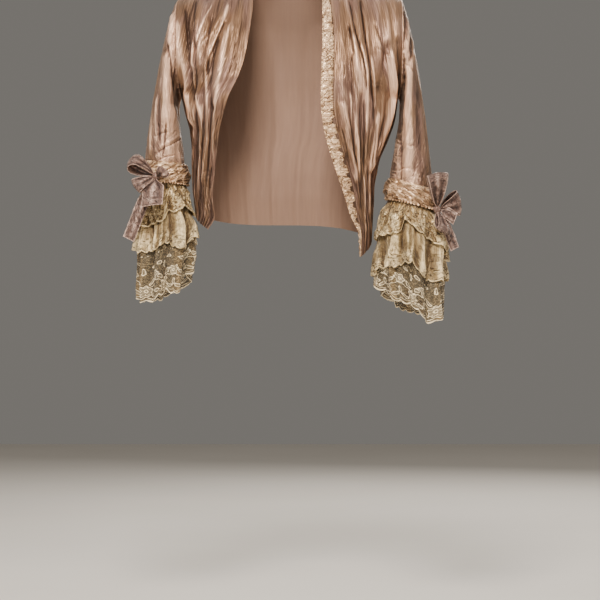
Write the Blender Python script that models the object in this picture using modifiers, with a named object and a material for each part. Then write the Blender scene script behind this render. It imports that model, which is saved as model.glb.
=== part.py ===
# A bodice jacket of crinkled rose silk: two pleated fronts, a back, elbow sleeves with
# shirred cuff bands, three lace flounces on each sleeve, a ribbon bow at each elbow and a
# shirred band down the wearer's left front edge.
#
# Tables are in millimetres. +Z is up, the front faces -Y, and the wearer's right is -X.
# The origin lies between the two shoulders, where the wearer's body carries the jacket.

import math

import bmesh
import bpy
from mathutils import Quaternion, Vector

MM = 0.001

SILK_WALL = 1.2
LACE_WALL = 1.0
SEAM_GAP = 0.4

# How far round a front turns from its side seam to its front edge.
FRONT_TURN = math.radians(70)

# The level where the side seam ends and the armhole begins, in every panel's table.
UNDERARM_LEVEL = 0.56

NECK_POINT = Vector((66, 12, 22))
SHOULDER_X = 194

SILK_COLOUR = (0.42, 0.24, 0.17)
BAND_COLOUR = (0.56, 0.36, 0.22)
LACE_COLOUR = (0.66, 0.50, 0.31)
BOW_COLOUR = (0.33, 0.19, 0.17)


def table(columns, *rows):
    """Rows of numbers as dictionaries with the columns' names."""
    return [dict(zip(columns.split(), row)) for row in rows]


# Each front: a row for each level from the hem to the shoulder. outer is the side seam and,
# above the underarm, the armhole. edge is the front edge and, at the top, the neckline.
# rounding is 1 where the row wraps round the body and 0 where it runs straight.
FRONT_COLUMNS = "level outer_x outer_y outer_z edge_x edge_y edge_z rounding"

RIGHT_FRONT = table(
    FRONT_COLUMNS,
    (0.00, -165, 8, -396, -141, -70, -427, 1.0),
    (0.06, -168, 8, -372, -129, -75, -405, 1.0),
    (0.14, -171, 8, -345, -133, -74, -372, 1.0),
    (0.22, -171, 8, -315, -130, -80, -338, 1.0),
    (0.32, -172, 8, -280, -126, -90, -300, 1.0),
    (0.42, -176, 8, -249, -121, -101, -262, 1.0),
    (0.50, -185, 8, -216, -112, -108, -226, 1.0),
    (0.56, -190, 8, -193, -104, -111, -200, 1.0),
    (0.64, -193, -24, -176, -90, -111, -172, 0.9),
    (0.72, -196, -46, -146, -79, -103, -140, 0.7),
    (0.80, -199, -54, -108, -72, -92, -105, 0.5),
    (0.87, -199, -50, -70, -67, -76, -70, 0.4),
    (0.93, -198, -34, -40, -64, -52, -34, 0.25),
    (0.97, -196, -14, -24, -64, -22, -2, 0.1),
    (1.00, -194, 6, -18, -66, 12, 22, 0.0),
)

LEFT_FRONT = table(
    FRONT_COLUMNS,
    (0.00, 143, 8, -440, 123, -68, -474, 1.0),
    (0.06, 144, 8, -412, 124, -70, -437, 1.0),
    (0.14, 146, 8, -378, 117, -74, -405, 1.0),
    (0.22, 148, 8, -345, 111, -79, -364, 1.0),
    (0.32, 156, 8, -306, 100, -88, -322, 1.0),
    (0.42, 172, 8, -268, 88, -99, -283, 1.0),
    (0.50, 185, 8, -228, 79, -107, -246, 1.0),
    (0.56, 190, 8, -193, 75, -111, -215, 1.0),
    (0.64, 193, -24, -176, 75, -112, -178, 0.9),
    (0.72, 194, -46, -146, 76, -105, -144, 0.7),
    (0.80, 195, -54, -108, 77, -93, -106, 0.5),
    (0.87, 195, -50, -70, 75, -76, -70, 0.4),
    (0.93, 195, -34, -40, 71, -52, -34, 0.25),
    (0.97, 194.5, -14, -24, 68, -22, -2, 0.1),
    (1.00, 194, 6, -18, 66, 12, 22, 0.0),
)

# The back's own rows: the armhole's back half, as a distance out from the centre, and the
# centre back. Below the underarm the back shares the fronts' side seams.
BACK = table(
    "level armhole_x armhole_y armhole_z centre_y centre_z",
    (0.00, 0, 0, 0, 99, -414),
    (0.06, 0, 0, 0, 96, -386),
    (0.14, 0, 0, 0, 93, -356),
    (0.22, 0, 0, 0, 93, -326),
    (0.32, 0, 0, 0, 97, -290),
    (0.42, 0, 0, 0, 104, -257),
    (0.50, 0, 0, 0, 110, -221),
    (0.56, 0, 0, 0, 113, -196),
    (0.64, 191, 40, -176, 114, -172),
    (0.72, 190, 60, -146, 112, -140),
    (0.80, 188, 66, -108, 107, -104),
    (0.87, 189, 60, -70, 98, -70),
    (0.93, 191, 42, -40, 85, -38),
    (0.97, 193, 22, -24, 75, -14),
    (1.00, 194, 6, -18, 68, 3),
)

# Each panel's columns, how far short of its side seams it stops, as a share of its width,
# and the lengths over which its pleats die out at its outer edge and its front edge. The
# back's two are its side seams.
PANEL_COLUMNS = "name columns short outer_fade front_fade"

PANELS = {
    row["name"]: row
    for row in table(
        PANEL_COLUMNS,
        ("front_right", 31, 0.0022, 9, 8),
        ("front_left", 33, 0.0022, 9, 8),
        ("back", 27, 0.0008, 9, 9),
    )
}
SHOULDER_FADE = 26
# How narrow the pleats are where they are drawn together, below the underarm.
DRAWN_WIDTH = 0.55

# The levels of the panels' rows. Above the underarm they are also the sleeves' columns, so
# that panel and sleeve share the same points round the armhole.
LOWER_ROWS = 7
ARMHOLE_LEVELS = (0.56, 0.60, 0.645, 0.69, 0.74, 0.79, 0.845, 0.90, 0.945, 0.975, 1.0)
# The panels' top rows stop just short of the shoulder seams.
TOP_LEVEL = 0.9991

# Soft pleats, each a ridge that runs from the shoulder to the hem. Its place across the
# panel is 0 at the outer edge and 1 at the front edge. Widths and heights are in
# millimetres, and the heights are at five levels.
PLEAT_COLUMNS = "at_shoulder at_bust at_waist half_width shoulder bust underarm waist hem"
PLEAT_LEVELS = {"shoulder": 1.0, "bust": 0.78, "underarm": 0.54, "waist": 0.28, "hem": 0.0}

RIGHT_PLEATS = table(
    PLEAT_COLUMNS,
    (0.12, 0.15, 0.27, 10.0, 1.0, 8.0, 2.5, 3.0, 1.0),
    (0.35, 0.38, 0.46, 5.0, 3.0, 5.0, 5.5, 4.0, 2.0),
    (0.55, 0.48, 0.56, 4.5, 3.5, 4.0, 3.5, 3.5, 2.5),
    (0.78, 0.58, 0.66, 5.5, 4.5, 6.5, 6.0, 4.5, 2.5),
    (0.95, 0.77, 0.77, 10.0, 1.5, 6.0, 4.5, 3.0, 2.0),
    (0.99, 0.93, 0.90, 5.0, 0.0, 2.0, 3.5, 3.0, 1.5),
)

LEFT_PLEATS = table(
    PLEAT_COLUMNS,
    (0.10, 0.15, 0.22, 9.0, 0.5, 6.0, 2.5, 3.0, 1.0),
    (0.27, 0.32, 0.37, 7.0, 1.0, 6.5, 5.5, 4.0, 2.0),
    (0.41, 0.48, 0.52, 8.0, 1.0, 4.0, 4.5, 4.0, 2.5),
    (0.57, 0.62, 0.63, 4.5, 1.0, 3.0, 4.5, 4.0, 2.5),
    (0.70, 0.71, 0.71, 4.5, 3.5, 5.0, 5.5, 3.5, 2.0),
    (0.82, 0.79, 0.80, 4.5, 3.0, 4.5, 5.0, 3.5, 1.5),
    (0.94, 0.91, 0.90, 6.0, 1.0, 2.5, 3.0, 2.0, 1.0),
)

BACK_PLEATS = table(
    PLEAT_COLUMNS,
    (0.12, 0.14, 0.17, 9.0, 0.0, 3.0, 2.5, 3.0, 2.0),
    (0.22, 0.25, 0.29, 8.0, 0.0, 2.0, 3.5, 4.0, 2.5),
    (0.34, 0.35, 0.37, 10.0, 0.0, 3.5, 2.5, 3.5, 2.5),
    (0.44, 0.46, 0.46, 7.0, 0.0, 1.5, 3.0, 4.5, 3.0),
    (0.57, 0.55, 0.55, 8.0, 0.0, 2.5, 3.5, 4.0, 3.0),
    (0.67, 0.66, 0.63, 10.0, 0.0, 3.5, 2.0, 3.5, 2.5),
    (0.79, 0.76, 0.73, 7.0, 0.0, 2.0, 3.5, 4.0, 2.5),
    (0.88, 0.86, 0.83, 9.0, 0.0, 3.0, 2.5, 3.0, 2.0),
)

# The gathered puff near the wearer's right front edge, just above the waist.
EDGE_PUFF = {"level": 0.205, "across": 0.80, "radius": 11.0, "height": 3.6}

# The shirred band down the wearer's left front edge: its width from the seam inwards.
BAND_WIDTH = table(
    "level width",
    (0.00, 3.0),
    (0.06, 6.0),
    (0.14, 13.0),
    (0.22, 20.0),
    (0.32, 23.5),
    (0.42, 23.5),
    (0.56, 22.0),
    (0.80, 21.0),
    (0.90, 17.0),
    (0.98, 9.0),
)
BAND_TOP_LEVEL = 0.98
BAND_FOOT_LEVELS = (0.0, 0.04, 0.08)
BAND_TOP_ROWS = 10
# Past the seam the band turns to lie over the chest.
BAND_TURN = Vector((-0.5, 0.10, 0))
BAND_PUCKER = 1.0
BAND_GAP = 1.0
# Slots between the band and the front, which are joined only at intervals there.
SLOTS = {"count": 8, "low_level": 0.125, "high_level": 0.505, "length": 9.0, "depth": 4.2}
FRONT_LENGTH = 440

# Each sleeve's lower end, where the flounces are joined. half_width is along X, half_depth
# along Y, and lean is how much lower its outer side lies than its middle.
SLEEVE_END = {
    "right": {"x": -220, "y": -2, "z": -328, "half_width": 35, "half_depth": 47, "lean": -3},
    "left": {"x": 213, "y": -2, "z": -366, "half_width": 39, "half_depth": 49, "lean": 11},
}

# How a sleeve leaves its armhole, at the underarm and at the shoulder, on the wearer's
# left: the direction and length of its first stretch. Its last stretch runs straight down.
LEAVE_UNDER = Vector((42, 0, -24))
LEAVE_SHOULDER = Vector((64, 0, -96))
LEAVE_BULGE = 34
ARRIVE_UNDER = 82
ARRIVE_SHOULDER = 150
SLEEVE_ROWS = 9
SLEEVE_FOLD = {"count": 5, "height": 1.6}
# How far a sleeve's first points stand off the armhole: more at the underarm's sharp turn.
SLEEVE_STAND_OFF = 1.5
UNDERARM_STAND_OFF = 0.9

# The cuff band: its height above and below the sleeve's end, its swell, its puckers, and
# how far it stands off the sleeve and, lower down, off the upper flounce.
CUFF_BAND = {"above": 20, "below": 17, "swell": 3.0, "puckers": 11, "pucker": 1.3, "columns": 33}
CUFF_OFF_SLEEVE = 2.8
CUFF_OFF_FLOUNCE = 4.2

# The flounces' common form below the sleeve's end. drop is the depth below it, shift moves
# the centre away from the body, and the widths and depths are half sizes. calm is how
# much of the waves is left on the side next to the body.
FLOUNCE_COLUMNS = "drop shift half_width half_depth wave calm"

FLOUNCE_FORM = {
    "right": table(
        FLOUNCE_COLUMNS,
        (0, 0.0, 35.0, 47.0, 0.0, 0.2),
        (18, 0.0, 35.3, 47.5, 0.4, 0.2),
        (34, -1.5, 39.0, 54.0, 3.0, 0.2),
        (60, -1.0, 41.5, 57.0, 6.0, 0.2),
        (90, -4.0, 46.5, 60.0, 8.5, 1.0),
        (130, -2.5, 47.5, 63.0, 9.5, 1.0),
        (175, -0.5, 45.0, 64.0, 10.0, 1.0),
        (235, 1.0, 43.0, 63.0, 10.5, 1.0),
    ),
    "left": table(
        FLOUNCE_COLUMNS,
        (0, 0.0, 39.0, 49.0, 0.0, 0.2),
        (18, 0.0, 39.3, 49.5, 0.4, 0.2),
        (34, -1.0, 49.0, 57.0, 3.0, 0.2),
        (60, 0.0, 56.0, 62.0, 6.0, 0.2),
        (85, 0.0, 58.5, 64.0, 8.0, 0.4),
        (105, -1.5, 59.0, 66.0, 8.5, 1.0),
        (130, -2.0, 58.5, 68.0, 9.5, 1.0),
        (175, 1.0, 54.0, 69.0, 10.0, 1.0),
        (235, 4.0, 50.0, 68.0, 10.5, 1.0),
    ),
}

# Each flounce's hem height by the angle round the arm: 0 is the inner side, next to the
# body, 0.25 the front, 0.5 the outer side and 0.75 the back. 1 repeats 0.
HEM_COLUMNS = "around upper middle lower"

FLOUNCE_HEM = {
    "right": table(
        HEM_COLUMNS,
        (0.000, -403, -436, -493),
        (0.050, -392, -442, -507),
        (0.110, -384, -460, -526),
        (0.190, -396, -457, -537),
        (0.220, -394, -450, -531),
        (0.250, -410, -450, -537),
        (0.300, -415, -461, -546),
        (0.375, -422, -466, -552),
        (0.500, -422, -461, -547),
        (0.600, -414, -455, -541),
        (0.680, -421, -463, -550),
        (0.780, -409, -452, -536),
        (0.870, -413, -458, -530),
        (0.940, -399, -444, -510),
        (1.000, -403, -436, -493),
    ),
    "left": table(
        HEM_COLUMNS,
        (0.000, -441, -507, -526),
        (0.060, -438, -494, -535),
        (0.125, -435, -489, -543),
        (0.180, -432, -491, -551),
        (0.215, -410, -484, -555),
        (0.250, -421, -484, -561),
        (0.300, -437, -509, -578),
        (0.350, -449, -516, -588),
        (0.400, -459, -516, -578),
        (0.500, -481, -510, -577),
        (0.600, -470, -519, -586),
        (0.700, -456, -507, -573),
        (0.800, -462, -513, -566),
        (0.900, -447, -500, -545),
        (1.000, -441, -507, -526),
    ),
}

# The flounces from the outermost to the innermost. stand_off is from the sleeve's own ring
# at the top, spread is how much further in it hangs lower down, and each flounce's own
# wave starts below the hem of the flounce that covers it.
FLOUNCES = table(
    "name covered_by stand_off spread own_wave own_count own_phase",
    ("upper", None, 1.6, 0.0, 0.0, 0, 0.0),
    ("middle", "upper", -0.3, 1.5, 3.0, 13, 0.35),
    ("lower", "middle", -2.2, 3.0, 3.6, 11, 0.10),
)
FLOUNCE_ROUND = 44
# The rows that all flounces share: under the cuff band, half way to the upper hem, each
# hem, and half way to the lowest hem. A flounce ends at its own hem.
FLOUNCE_ROWS = ("top", "band", "half_upper", "upper", "middle", "half_lower", "lower")
UNDER_BAND = 18
# The waves that all three flounces share, round the arm.
SHARED_WAVES = table(
    "count share phase",
    (8, 0.60, 0.05),
    (5, 0.40, 0.40),
)
OWN_WAVE_LENGTH = 30.0

# The bows, each seated on its cuff band: around is the place round the arm, level its
# place on the band, face the way that the bow looks and seat the knot's gap to the band.
BOW = {
    "right": {"around": 0.288, "level": 0.74, "face": math.radians(-16), "seat": 0.9},
    "left": {"around": 0.395, "level": 0.97, "face": math.radians(36), "seat": 1.0},
}
# The direction of each loop or tail from the knot in the bow's own axes: reach along the
# cuff, out away from the arm and up. twist turns a loop about that direction: at 90
# degrees its hollow faces outwards.
LOOP_COLUMNS = "name reach out up length width depth twist"

BOW_LOOPS = {
    "right": table(
        LOOP_COLUMNS,
        ("upper_loop", -0.82, 0.36, 0.50, 54, 34, 38, 60),
        ("inner_loop", 0.74, 0.60, 0.30, 28, 25, 17, 40),
        ("lower_loop", -0.80, 0.62, -0.50, 44, 28, 16, 10),
    ),
    "left": table(
        LOOP_COLUMNS,
        ("upper_loop", -0.34, 0.42, 0.90, 72, 38, 20, -26),
        ("outer_loop", 0.90, 0.30, 0.30, 46, 46, 22, 14),
        ("lower_loop", -0.24, 0.66, -0.80, 54, 34, 16, -8),
    ),
}
TAIL_COLUMNS = "name reach out up length width"

BOW_TAILS = {
    "right": table(
        TAIL_COLUMNS,
        ("broad_tail", 0.08, 0.66, -0.76, 56, 39),
        ("long_tail", -0.44, 0.14, -0.88, 104, 22),
    ),
    "left": table(
        TAIL_COLUMNS,
        ("broad_tail", 0.72, 0.84, -0.36, 34, 22),
        ("long_tail", 0.36, 0.34, -0.88, 66, 20),
    ),
}
KNOT = {"half_width": 7.5, "half_depth": 6.8, "half_height": 7.5}
LOOP_ROOT = 7.95
TAIL_ROOT = 7.5
ROOT_HALF_WIDTH = 2.2
ROOT_HALF_OPENING = 1.4
LOOP_CUP = 2.4
TAIL_CUP = 2.2
TAIL_WAVE = {"height": 3.0, "turn": 5.2}
TAIL_FALL = 0.16


def smoothstep(t):
    t = min(max(t, 0.0), 1.0)
    return t * t * (3 - 2 * t)


class Track:
    """A smooth line through a table's rows that never swings past them."""

    def __init__(self, rows, knot, *columns):
        self.knots = [row[knot] for row in rows]
        self.lines = []
        for column in columns:
            values = [row[column] for row in rows]
            self.lines.append((values, self.slopes(values)))

    def slopes(self, values):
        steps = [
            (b - a) / (k - j)
            for a, b, j, k in zip(values, values[1:], self.knots, self.knots[1:])
        ]
        inner = [2 * a * b / (a + b) if a * b > 0 else 0.0 for a, b in zip(steps, steps[1:])]
        return [steps[0], *inner, steps[-1]]

    def at(self, t):
        last = len(self.knots) - 2
        i = 0
        while i < last and t > self.knots[i + 1]:
            i += 1
        span = self.knots[i + 1] - self.knots[i]
        s = (t - self.knots[i]) / span
        found = []
        for values, slopes in self.lines:
            found.append(
                (2 * s**3 - 3 * s**2 + 1) * values[i]
                + (s**3 - 2 * s**2 + s) * span * slopes[i]
                + (3 * s**2 - 2 * s**3) * values[i + 1]
                + (s**3 - s**2) * span * slopes[i + 1]
            )
        return found[0] if len(found) == 1 else Vector(found)


def front_surface(rows):
    """The plain form of a front, before its pleats."""
    outer = Track(rows, "level", "outer_x", "outer_y", "outer_z")
    edge = Track(rows, "level", "edge_x", "edge_y", "edge_z")
    rounding = Track(rows, "level", "rounding")

    def point(across, level):
        a, b = outer.at(level), edge.at(level)
        turn = across * FRONT_TURN
        wrapped = Vector((
            a.x + (b.x - a.x) * (1 - math.cos(turn)) / (1 - math.cos(FRONT_TURN)),
            a.y + (b.y - a.y) * math.sin(turn) / math.sin(FRONT_TURN),
            a.z + (b.z - a.z) * across,
        ))
        return a.lerp(b, across).lerp(wrapped, rounding.at(level))

    return point


def back_rows(front_rows, side):
    """The outer edge of the back on one side: the front's side seam, then its own armhole."""
    rows = []
    for front, back in zip(front_rows, BACK):
        if front["level"] <= UNDERARM_LEVEL:
            rows.append({k: front[k] for k in ("level", "outer_x", "outer_y", "outer_z")})
        else:
            rows.append({
                "level": back["level"],
                "outer_x": side * back["armhole_x"],
                "outer_y": back["armhole_y"],
                "outer_z": back["armhole_z"],
            })
    return rows


def top_of_back(x):
    """The shoulder seams and the back neckline, by the distance from the centre."""
    if abs(x) >= NECK_POINT.x:
        t = (abs(x) - NECK_POINT.x) / (SHOULDER_X - NECK_POINT.x)
        return Vector((x, NECK_POINT.y + (6 - NECK_POINT.y) * t, NECK_POINT.z - 40 * t))
    q = abs(x) / NECK_POINT.x
    centre = BACK[-1]
    return Vector((
        x,
        centre["centre_y"] + (NECK_POINT.y - centre["centre_y"]) * q**2.4,
        centre["centre_z"] + (NECK_POINT.z - centre["centre_z"]) * q**2,
    ))


def back_surface():
    """The plain form of the back, from the wearer's right side seam to the left."""
    right = Track(back_rows(RIGHT_FRONT, -1), "level", "outer_x", "outer_y", "outer_z")
    left = Track(back_rows(LEFT_FRONT, 1), "level", "outer_x", "outer_y", "outer_z")
    centre = Track(BACK, "level", "centre_y", "centre_z")

    def point(across, level):
        a, b, (centre_y, centre_z) = right.at(level), left.at(level), centre.at(level)
        side = a.lerp(b, (1 - math.cos(across * math.pi)) / 2)
        round_back = math.sin(across * math.pi)
        body = Vector((
            side.x,
            side.y + (centre_y - side.y) * round_back**0.85,
            side.z + (centre_z - side.z) * round_back**1.5,
        ))
        return body.lerp(top_of_back(side.x), smoothstep((level - 0.90) / 0.10))

    return point


def pleat_height(rows, across, level, row_length):
    """How far the pleats stand out of a panel's plain form."""
    height = 0.0
    for row in rows:
        if level > PLEAT_LEVELS["bust"]:
            t = (level - PLEAT_LEVELS["bust"]) / (1 - PLEAT_LEVELS["bust"])
            centre = row["at_bust"] + (row["at_shoulder"] - row["at_bust"]) * smoothstep(t)
        else:
            t = (level - PLEAT_LEVELS["waist"]) / (PLEAT_LEVELS["bust"] - PLEAT_LEVELS["waist"])
            centre = row["at_waist"] + (row["at_bust"] - row["at_waist"]) * smoothstep(t)
        # The pleats are drawn together at the waist.
        drawn = DRAWN_WIDTH + (1 - DRAWN_WIDTH) * smoothstep(level / 0.5)
        width = row["half_width"] * drawn
        away = (across - centre) * row_length / width
        if abs(away) < 3:
            height += pleat_stand(row, level) * math.exp(-away * away)
    return height


def pleat_stand(row, level):
    heights = [{"level": at, "stand": row[name]} for name, at in PLEAT_LEVELS.items()]
    return Track(heights[::-1], "level", "stand").at(level)


def out_of(point, across, level, sign):
    """The outward direction of a surface at one place."""
    d = 0.004
    along = point(min(across + d, 1), level) - point(max(across - d, 0), level)
    up = point(across, min(level + d, 1)) - point(across, max(level - d, 0))
    return along.cross(up).normalized() * sign


def length_of_row(point, level, steps=24):
    places = [point(i / steps, level) for i in range(steps + 1)]
    return sum((b - a).length for a, b in zip(places, places[1:]))


def pleated(point, pleats, sign, panel, extra=None):
    """A panel's form with its pleats standing out of it, and dying out at its edges."""
    lengths = Track(
        [{"level": i / 20, "length": length_of_row(point, i / 20)} for i in range(21)],
        "level",
        "length",
    )

    def placed(across, level):
        row_length = lengths.at(level)
        height = pleat_height(pleats, across, level, row_length)
        if extra:
            height += extra(across, level, row_length)
        height *= smoothstep(across * row_length / panel["outer_fade"])
        height *= smoothstep((1 - across) * row_length / panel["front_fade"])
        height *= smoothstep((1 - level) * FRONT_LENGTH / SHOULDER_FADE)
        return point(across, level) + out_of(point, across, level, sign) * height

    return placed


def puff(across, level, row_length):
    """The gathered puff by the wearer's right front edge."""
    away_across = (across - EDGE_PUFF["across"]) * row_length
    away_up = (level - EDGE_PUFF["level"]) * FRONT_LENGTH
    away = math.hypot(away_across, away_up) / EDGE_PUFF["radius"]
    return EDGE_PUFF["height"] * math.exp(-away * away)


def material(name, colour, roughness):
    made = bpy.data.materials.new(name)
    made.use_nodes = True
    shader = made.node_tree.nodes["Principled BSDF"]
    shader.inputs["Base Color"].default_value = (*colour, 1)
    shader.inputs["Roughness"].default_value = roughness
    shader.inputs["Metallic"].default_value = 0.0
    return made


def add_object(name, mesh, finish):
    made = bpy.data.objects.new(name, mesh)
    made.data.materials.append(finish)
    JACKET.objects.link(made)
    return made


def cloth(name, point, columns, levels, wall, finish, ring=False, span=(0, 1)):
    """A cloth wall lofted through point(across, level), closed on itself if ring is set."""
    bm = bmesh.new()
    lines = []
    for level in levels:
        line = []
        for i in range(columns if ring else columns + 1):
            across = span[0] + (span[1] - span[0]) * i / columns
            line.append(bm.verts.new(point(across, level) * MM))
        lines.append(line)
    for low, high in zip(lines, lines[1:]):
        pairs = list(zip(low, low[1:], high[1:], high))
        if ring:
            pairs.append((low[-1], low[0], high[0], high[-1]))
        for corners in pairs:
            bm.faces.new(corners)
    return walled(name, bm, wall, finish)


def walled(name, bm, wall, finish):
    """An object of a lofted sheet, with the cloth's wall."""
    mesh = bpy.data.meshes.new(name)
    bm.to_mesh(mesh)
    bm.free()
    mesh.shade_smooth()
    made = add_object(name, mesh, finish)
    thickness = made.modifiers.new("cloth wall", "SOLIDIFY")
    thickness.thickness = wall * MM
    thickness.offset = 0.0
    thickness.use_even_offset = True
    return made


def even_levels(count):
    return [i / count for i in range(count + 1)]


def panel_levels():
    """The levels of a panel's rows: even up to the underarm, then the armhole's own."""
    lower = [UNDERARM_LEVEL * i / LOWER_ROWS for i in range(LOWER_ROWS)]
    return [*lower, *ARMHOLE_LEVELS[:-1], TOP_LEVEL]


def make_panels(silk):
    """The pleated fronts and the back, which stop just short of their side seams."""
    make_panel("front_right", front_surface(RIGHT_FRONT), RIGHT_PLEATS, 1, silk, extra=puff)
    make_panel("front_left", front_surface(LEFT_FRONT), LEFT_PLEATS, -1, silk)
    make_panel("back", back_surface(), BACK_PLEATS, -1, silk, seams=2)


def make_panel(name, form, pleats, sign, silk, extra=None, seams=1):
    """One panel, with a side seam at across 0 and, where it has two, at across 1 as well."""
    panel = PANELS[name]
    span = (panel["short"], 1 - panel["short"] if seams == 2 else 1)
    placed = pleated(form, pleats, sign, panel, extra)
    cloth(name, placed, panel["columns"], panel_levels(), SILK_WALL, silk, span=span)


def slot_levels():
    """The levels of the middles of the slots beside the front band."""
    low, high = SLOTS["low_level"], SLOTS["high_level"]
    return [low + (high - low) * i / (SLOTS["count"] - 1) for i in range(SLOTS["count"])]


def front_band_levels():
    """The band's rows: some at each slot's ends, one between slots and some above them."""
    half = SLOTS["length"] / 2 / FRONT_LENGTH
    slots = slot_levels()
    levels = [*BAND_FOOT_LEVELS]
    for middle in slots:
        levels += [middle - half, middle - half / 2, middle + half / 2, middle + half]
        levels.append(middle + (slots[1] - slots[0]) / 2)
    above = levels[-1]
    rise = BAND_TOP_LEVEL - above
    levels += [above + rise * i / BAND_TOP_ROWS for i in range(1, BAND_TOP_ROWS + 1)]
    return levels


def front_band_surface():
    """The shirred band, across 0 at its seam with the front and 1 at its free edge."""
    edge = Track(LEFT_FRONT, "level", "edge_x", "edge_y", "edge_z")
    width = Track(BAND_WIDTH, "level", "width")
    form = front_surface(LEFT_FRONT)
    slots = slot_levels()
    half = SLOTS["length"] / 2 / FRONT_LENGTH

    def point(across, level, pucker):
        seam = edge.at(level)
        inwards = seam - form(0.97, level)
        inwards.z = 0
        inwards = (inwards.normalized() + BAND_TURN).normalized()
        outwards = Vector((-inwards.y, inwards.x, 0))
        if outwards.y > 0:
            outwards.negate()
        nearest = min(abs(level - middle) for middle in slots)
        start = BAND_GAP + (SLOTS["depth"] if nearest < half * 0.6 else 0)
        reach = start + (width.at(level) - start) * across
        return seam + inwards * reach + outwards * pucker * math.sin(math.pi * across)

    return point


def make_front_band(finish):
    surface = front_band_surface()
    levels = front_band_levels()
    # Rows alternate between a ridge and a furrow of the shirring.
    puckers = {level: BAND_PUCKER * (1 if i % 2 else -0.4) for i, level in enumerate(levels)}

    def placed(across, level):
        return surface(across, level, puckers[level])

    cloth("front_band", placed, 2, levels, SILK_WALL, finish)


def armhole_rim(side):
    """The armhole's points, from the underarm up the front and down the back again."""
    front_rows = RIGHT_FRONT if side < 0 else LEFT_FRONT
    front = Track(front_rows, "level", "outer_x", "outer_y", "outer_z")
    back = Track(back_rows(front_rows, side), "level", "outer_x", "outer_y", "outer_z")
    points = [front.at(level) for level in ARMHOLE_LEVELS]
    points += [back.at(level) for level in reversed(ARMHOLE_LEVELS[:-1])]
    rows, gone = [], 0.0
    for i, (before, here) in enumerate(zip([points[0], *points], points)):
        gone += (here - before).length
        around = i / (len(points) - 1)
        rows.append({"around": around, "x": here.x, "y": here.y, "z": here.z, "gone": gone})
    for row in rows:
        row["gone"] /= gone
    return rows


def sleeve_surface(side):
    """A sleeve from its armhole, level 0, to its lower end, level 1."""
    rows = armhole_rim(side)
    rim = Track(rows, "around", "x", "y", "z")
    turn = Track(rows, "around", "gone")
    end = SLEEVE_END["right" if side < 0 else "left"]

    def point(around, level):
        angle = turn.at(around) * 2 * math.pi
        top = (1 - math.cos(angle)) / 2
        leave = LEAVE_UNDER.lerp(LEAVE_SHOULDER, top)
        leave.x *= side
        leave.y -= LEAVE_BULGE * math.sin(angle)
        stand_off = SLEEVE_STAND_OFF + UNDERARM_STAND_OFF * (1 - top) ** 2
        start = rim.at(around) + leave.normalized() * stand_off
        fold = SLEEVE_FOLD["height"] * math.sin(SLEEVE_FOLD["count"] * angle + 0.7)
        fold *= smoothstep(level / 0.5) * (1 - smoothstep((level - 0.7) / 0.15))
        stop = cuff_ring(end, side, angle, fold, end["z"])
        arrive = Vector((0, 0, -arrive_length(angle)))
        s = level
        return (
            start * (2 * s**3 - 3 * s**2 + 1)
            + leave * (s**3 - 2 * s**2 + s)
            + stop * (3 * s**2 - 2 * s**3)
            + arrive * (s**3 - s**2)
        )

    return point


def arrive_length(angle):
    """How long a sleeve's last straight stretch is, by the angle round the arm."""
    return ARRIVE_UNDER + (ARRIVE_SHOULDER - ARRIVE_UNDER) * (1 - math.cos(angle)) / 2


def cuff_ring(end, side, angle, out, z):
    """A point round the sleeve's end, out millimetres outside it."""
    outer = -math.cos(angle)
    return Vector((
        end["x"] + side * outer * (end["half_width"] + out),
        end["y"] - math.sin(angle) * (end["half_depth"] + out),
        z - end["lean"] * outer,
    ))


def sleeve_at_height(sleeve, around, z):
    """The sleeve's point at a height near its lower end."""
    low, high = 0.6, 1.0
    for _ in range(18):
        level = (low + high) / 2
        if sleeve(around, level).z > z:
            low = level
        else:
            high = level
    return sleeve(around, high)


def cuff_band_surface(side):
    """The shirred band over the joint of sleeve and flounces, level 0 at its top."""
    end = SLEEVE_END["right" if side < 0 else "left"]
    sleeve = sleeve_surface(side)
    turn = Track(armhole_rim(side), "around", "gone")

    def point(around, level):
        angle = turn.at(around % 1) * 2 * math.pi
        rise = CUFF_BAND["above"] - (CUFF_BAND["above"] + CUFF_BAND["below"]) * level
        root = CUFF_OFF_SLEEVE + (CUFF_OFF_FLOUNCE - CUFF_OFF_SLEEVE) * smoothstep(level * 1.8)
        full = math.sin(math.pi * level) ** 0.7 if 0 < level < 1 else 0.0
        pucker = CUFF_BAND["pucker"] * (1 + math.sin(CUFF_BAND["puckers"] * angle + 4 * level))
        out = root + (CUFF_BAND["swell"] + pucker) * full
        ring = cuff_ring(end, side, angle, out, end["z"] + rise)
        if rise <= 0:
            return ring
        away = Vector((-side * math.cos(angle), -math.sin(angle), 0))
        return sleeve_at_height(sleeve, around % 1, ring.z) + away * out

    return point


def flounce_heights(side, around):
    """The heights of the flounces' shared rows at one place round the arm."""
    name = "right" if side < 0 else "left"
    top = SLEEVE_END[name]["z"] - SILK_WALL / 2 - SEAM_GAP
    hems = {row["name"]: Track(FLOUNCE_HEM[name], "around", row["name"]) for row in FLOUNCES}
    heights = {flounce: hem.at(around) for flounce, hem in hems.items()}
    heights["top"] = top
    heights["band"] = top - UNDER_BAND
    heights["half_upper"] = (heights["band"] + heights["upper"]) / 2
    heights["half_lower"] = (heights["middle"] + heights["lower"]) / 2
    return heights


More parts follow.
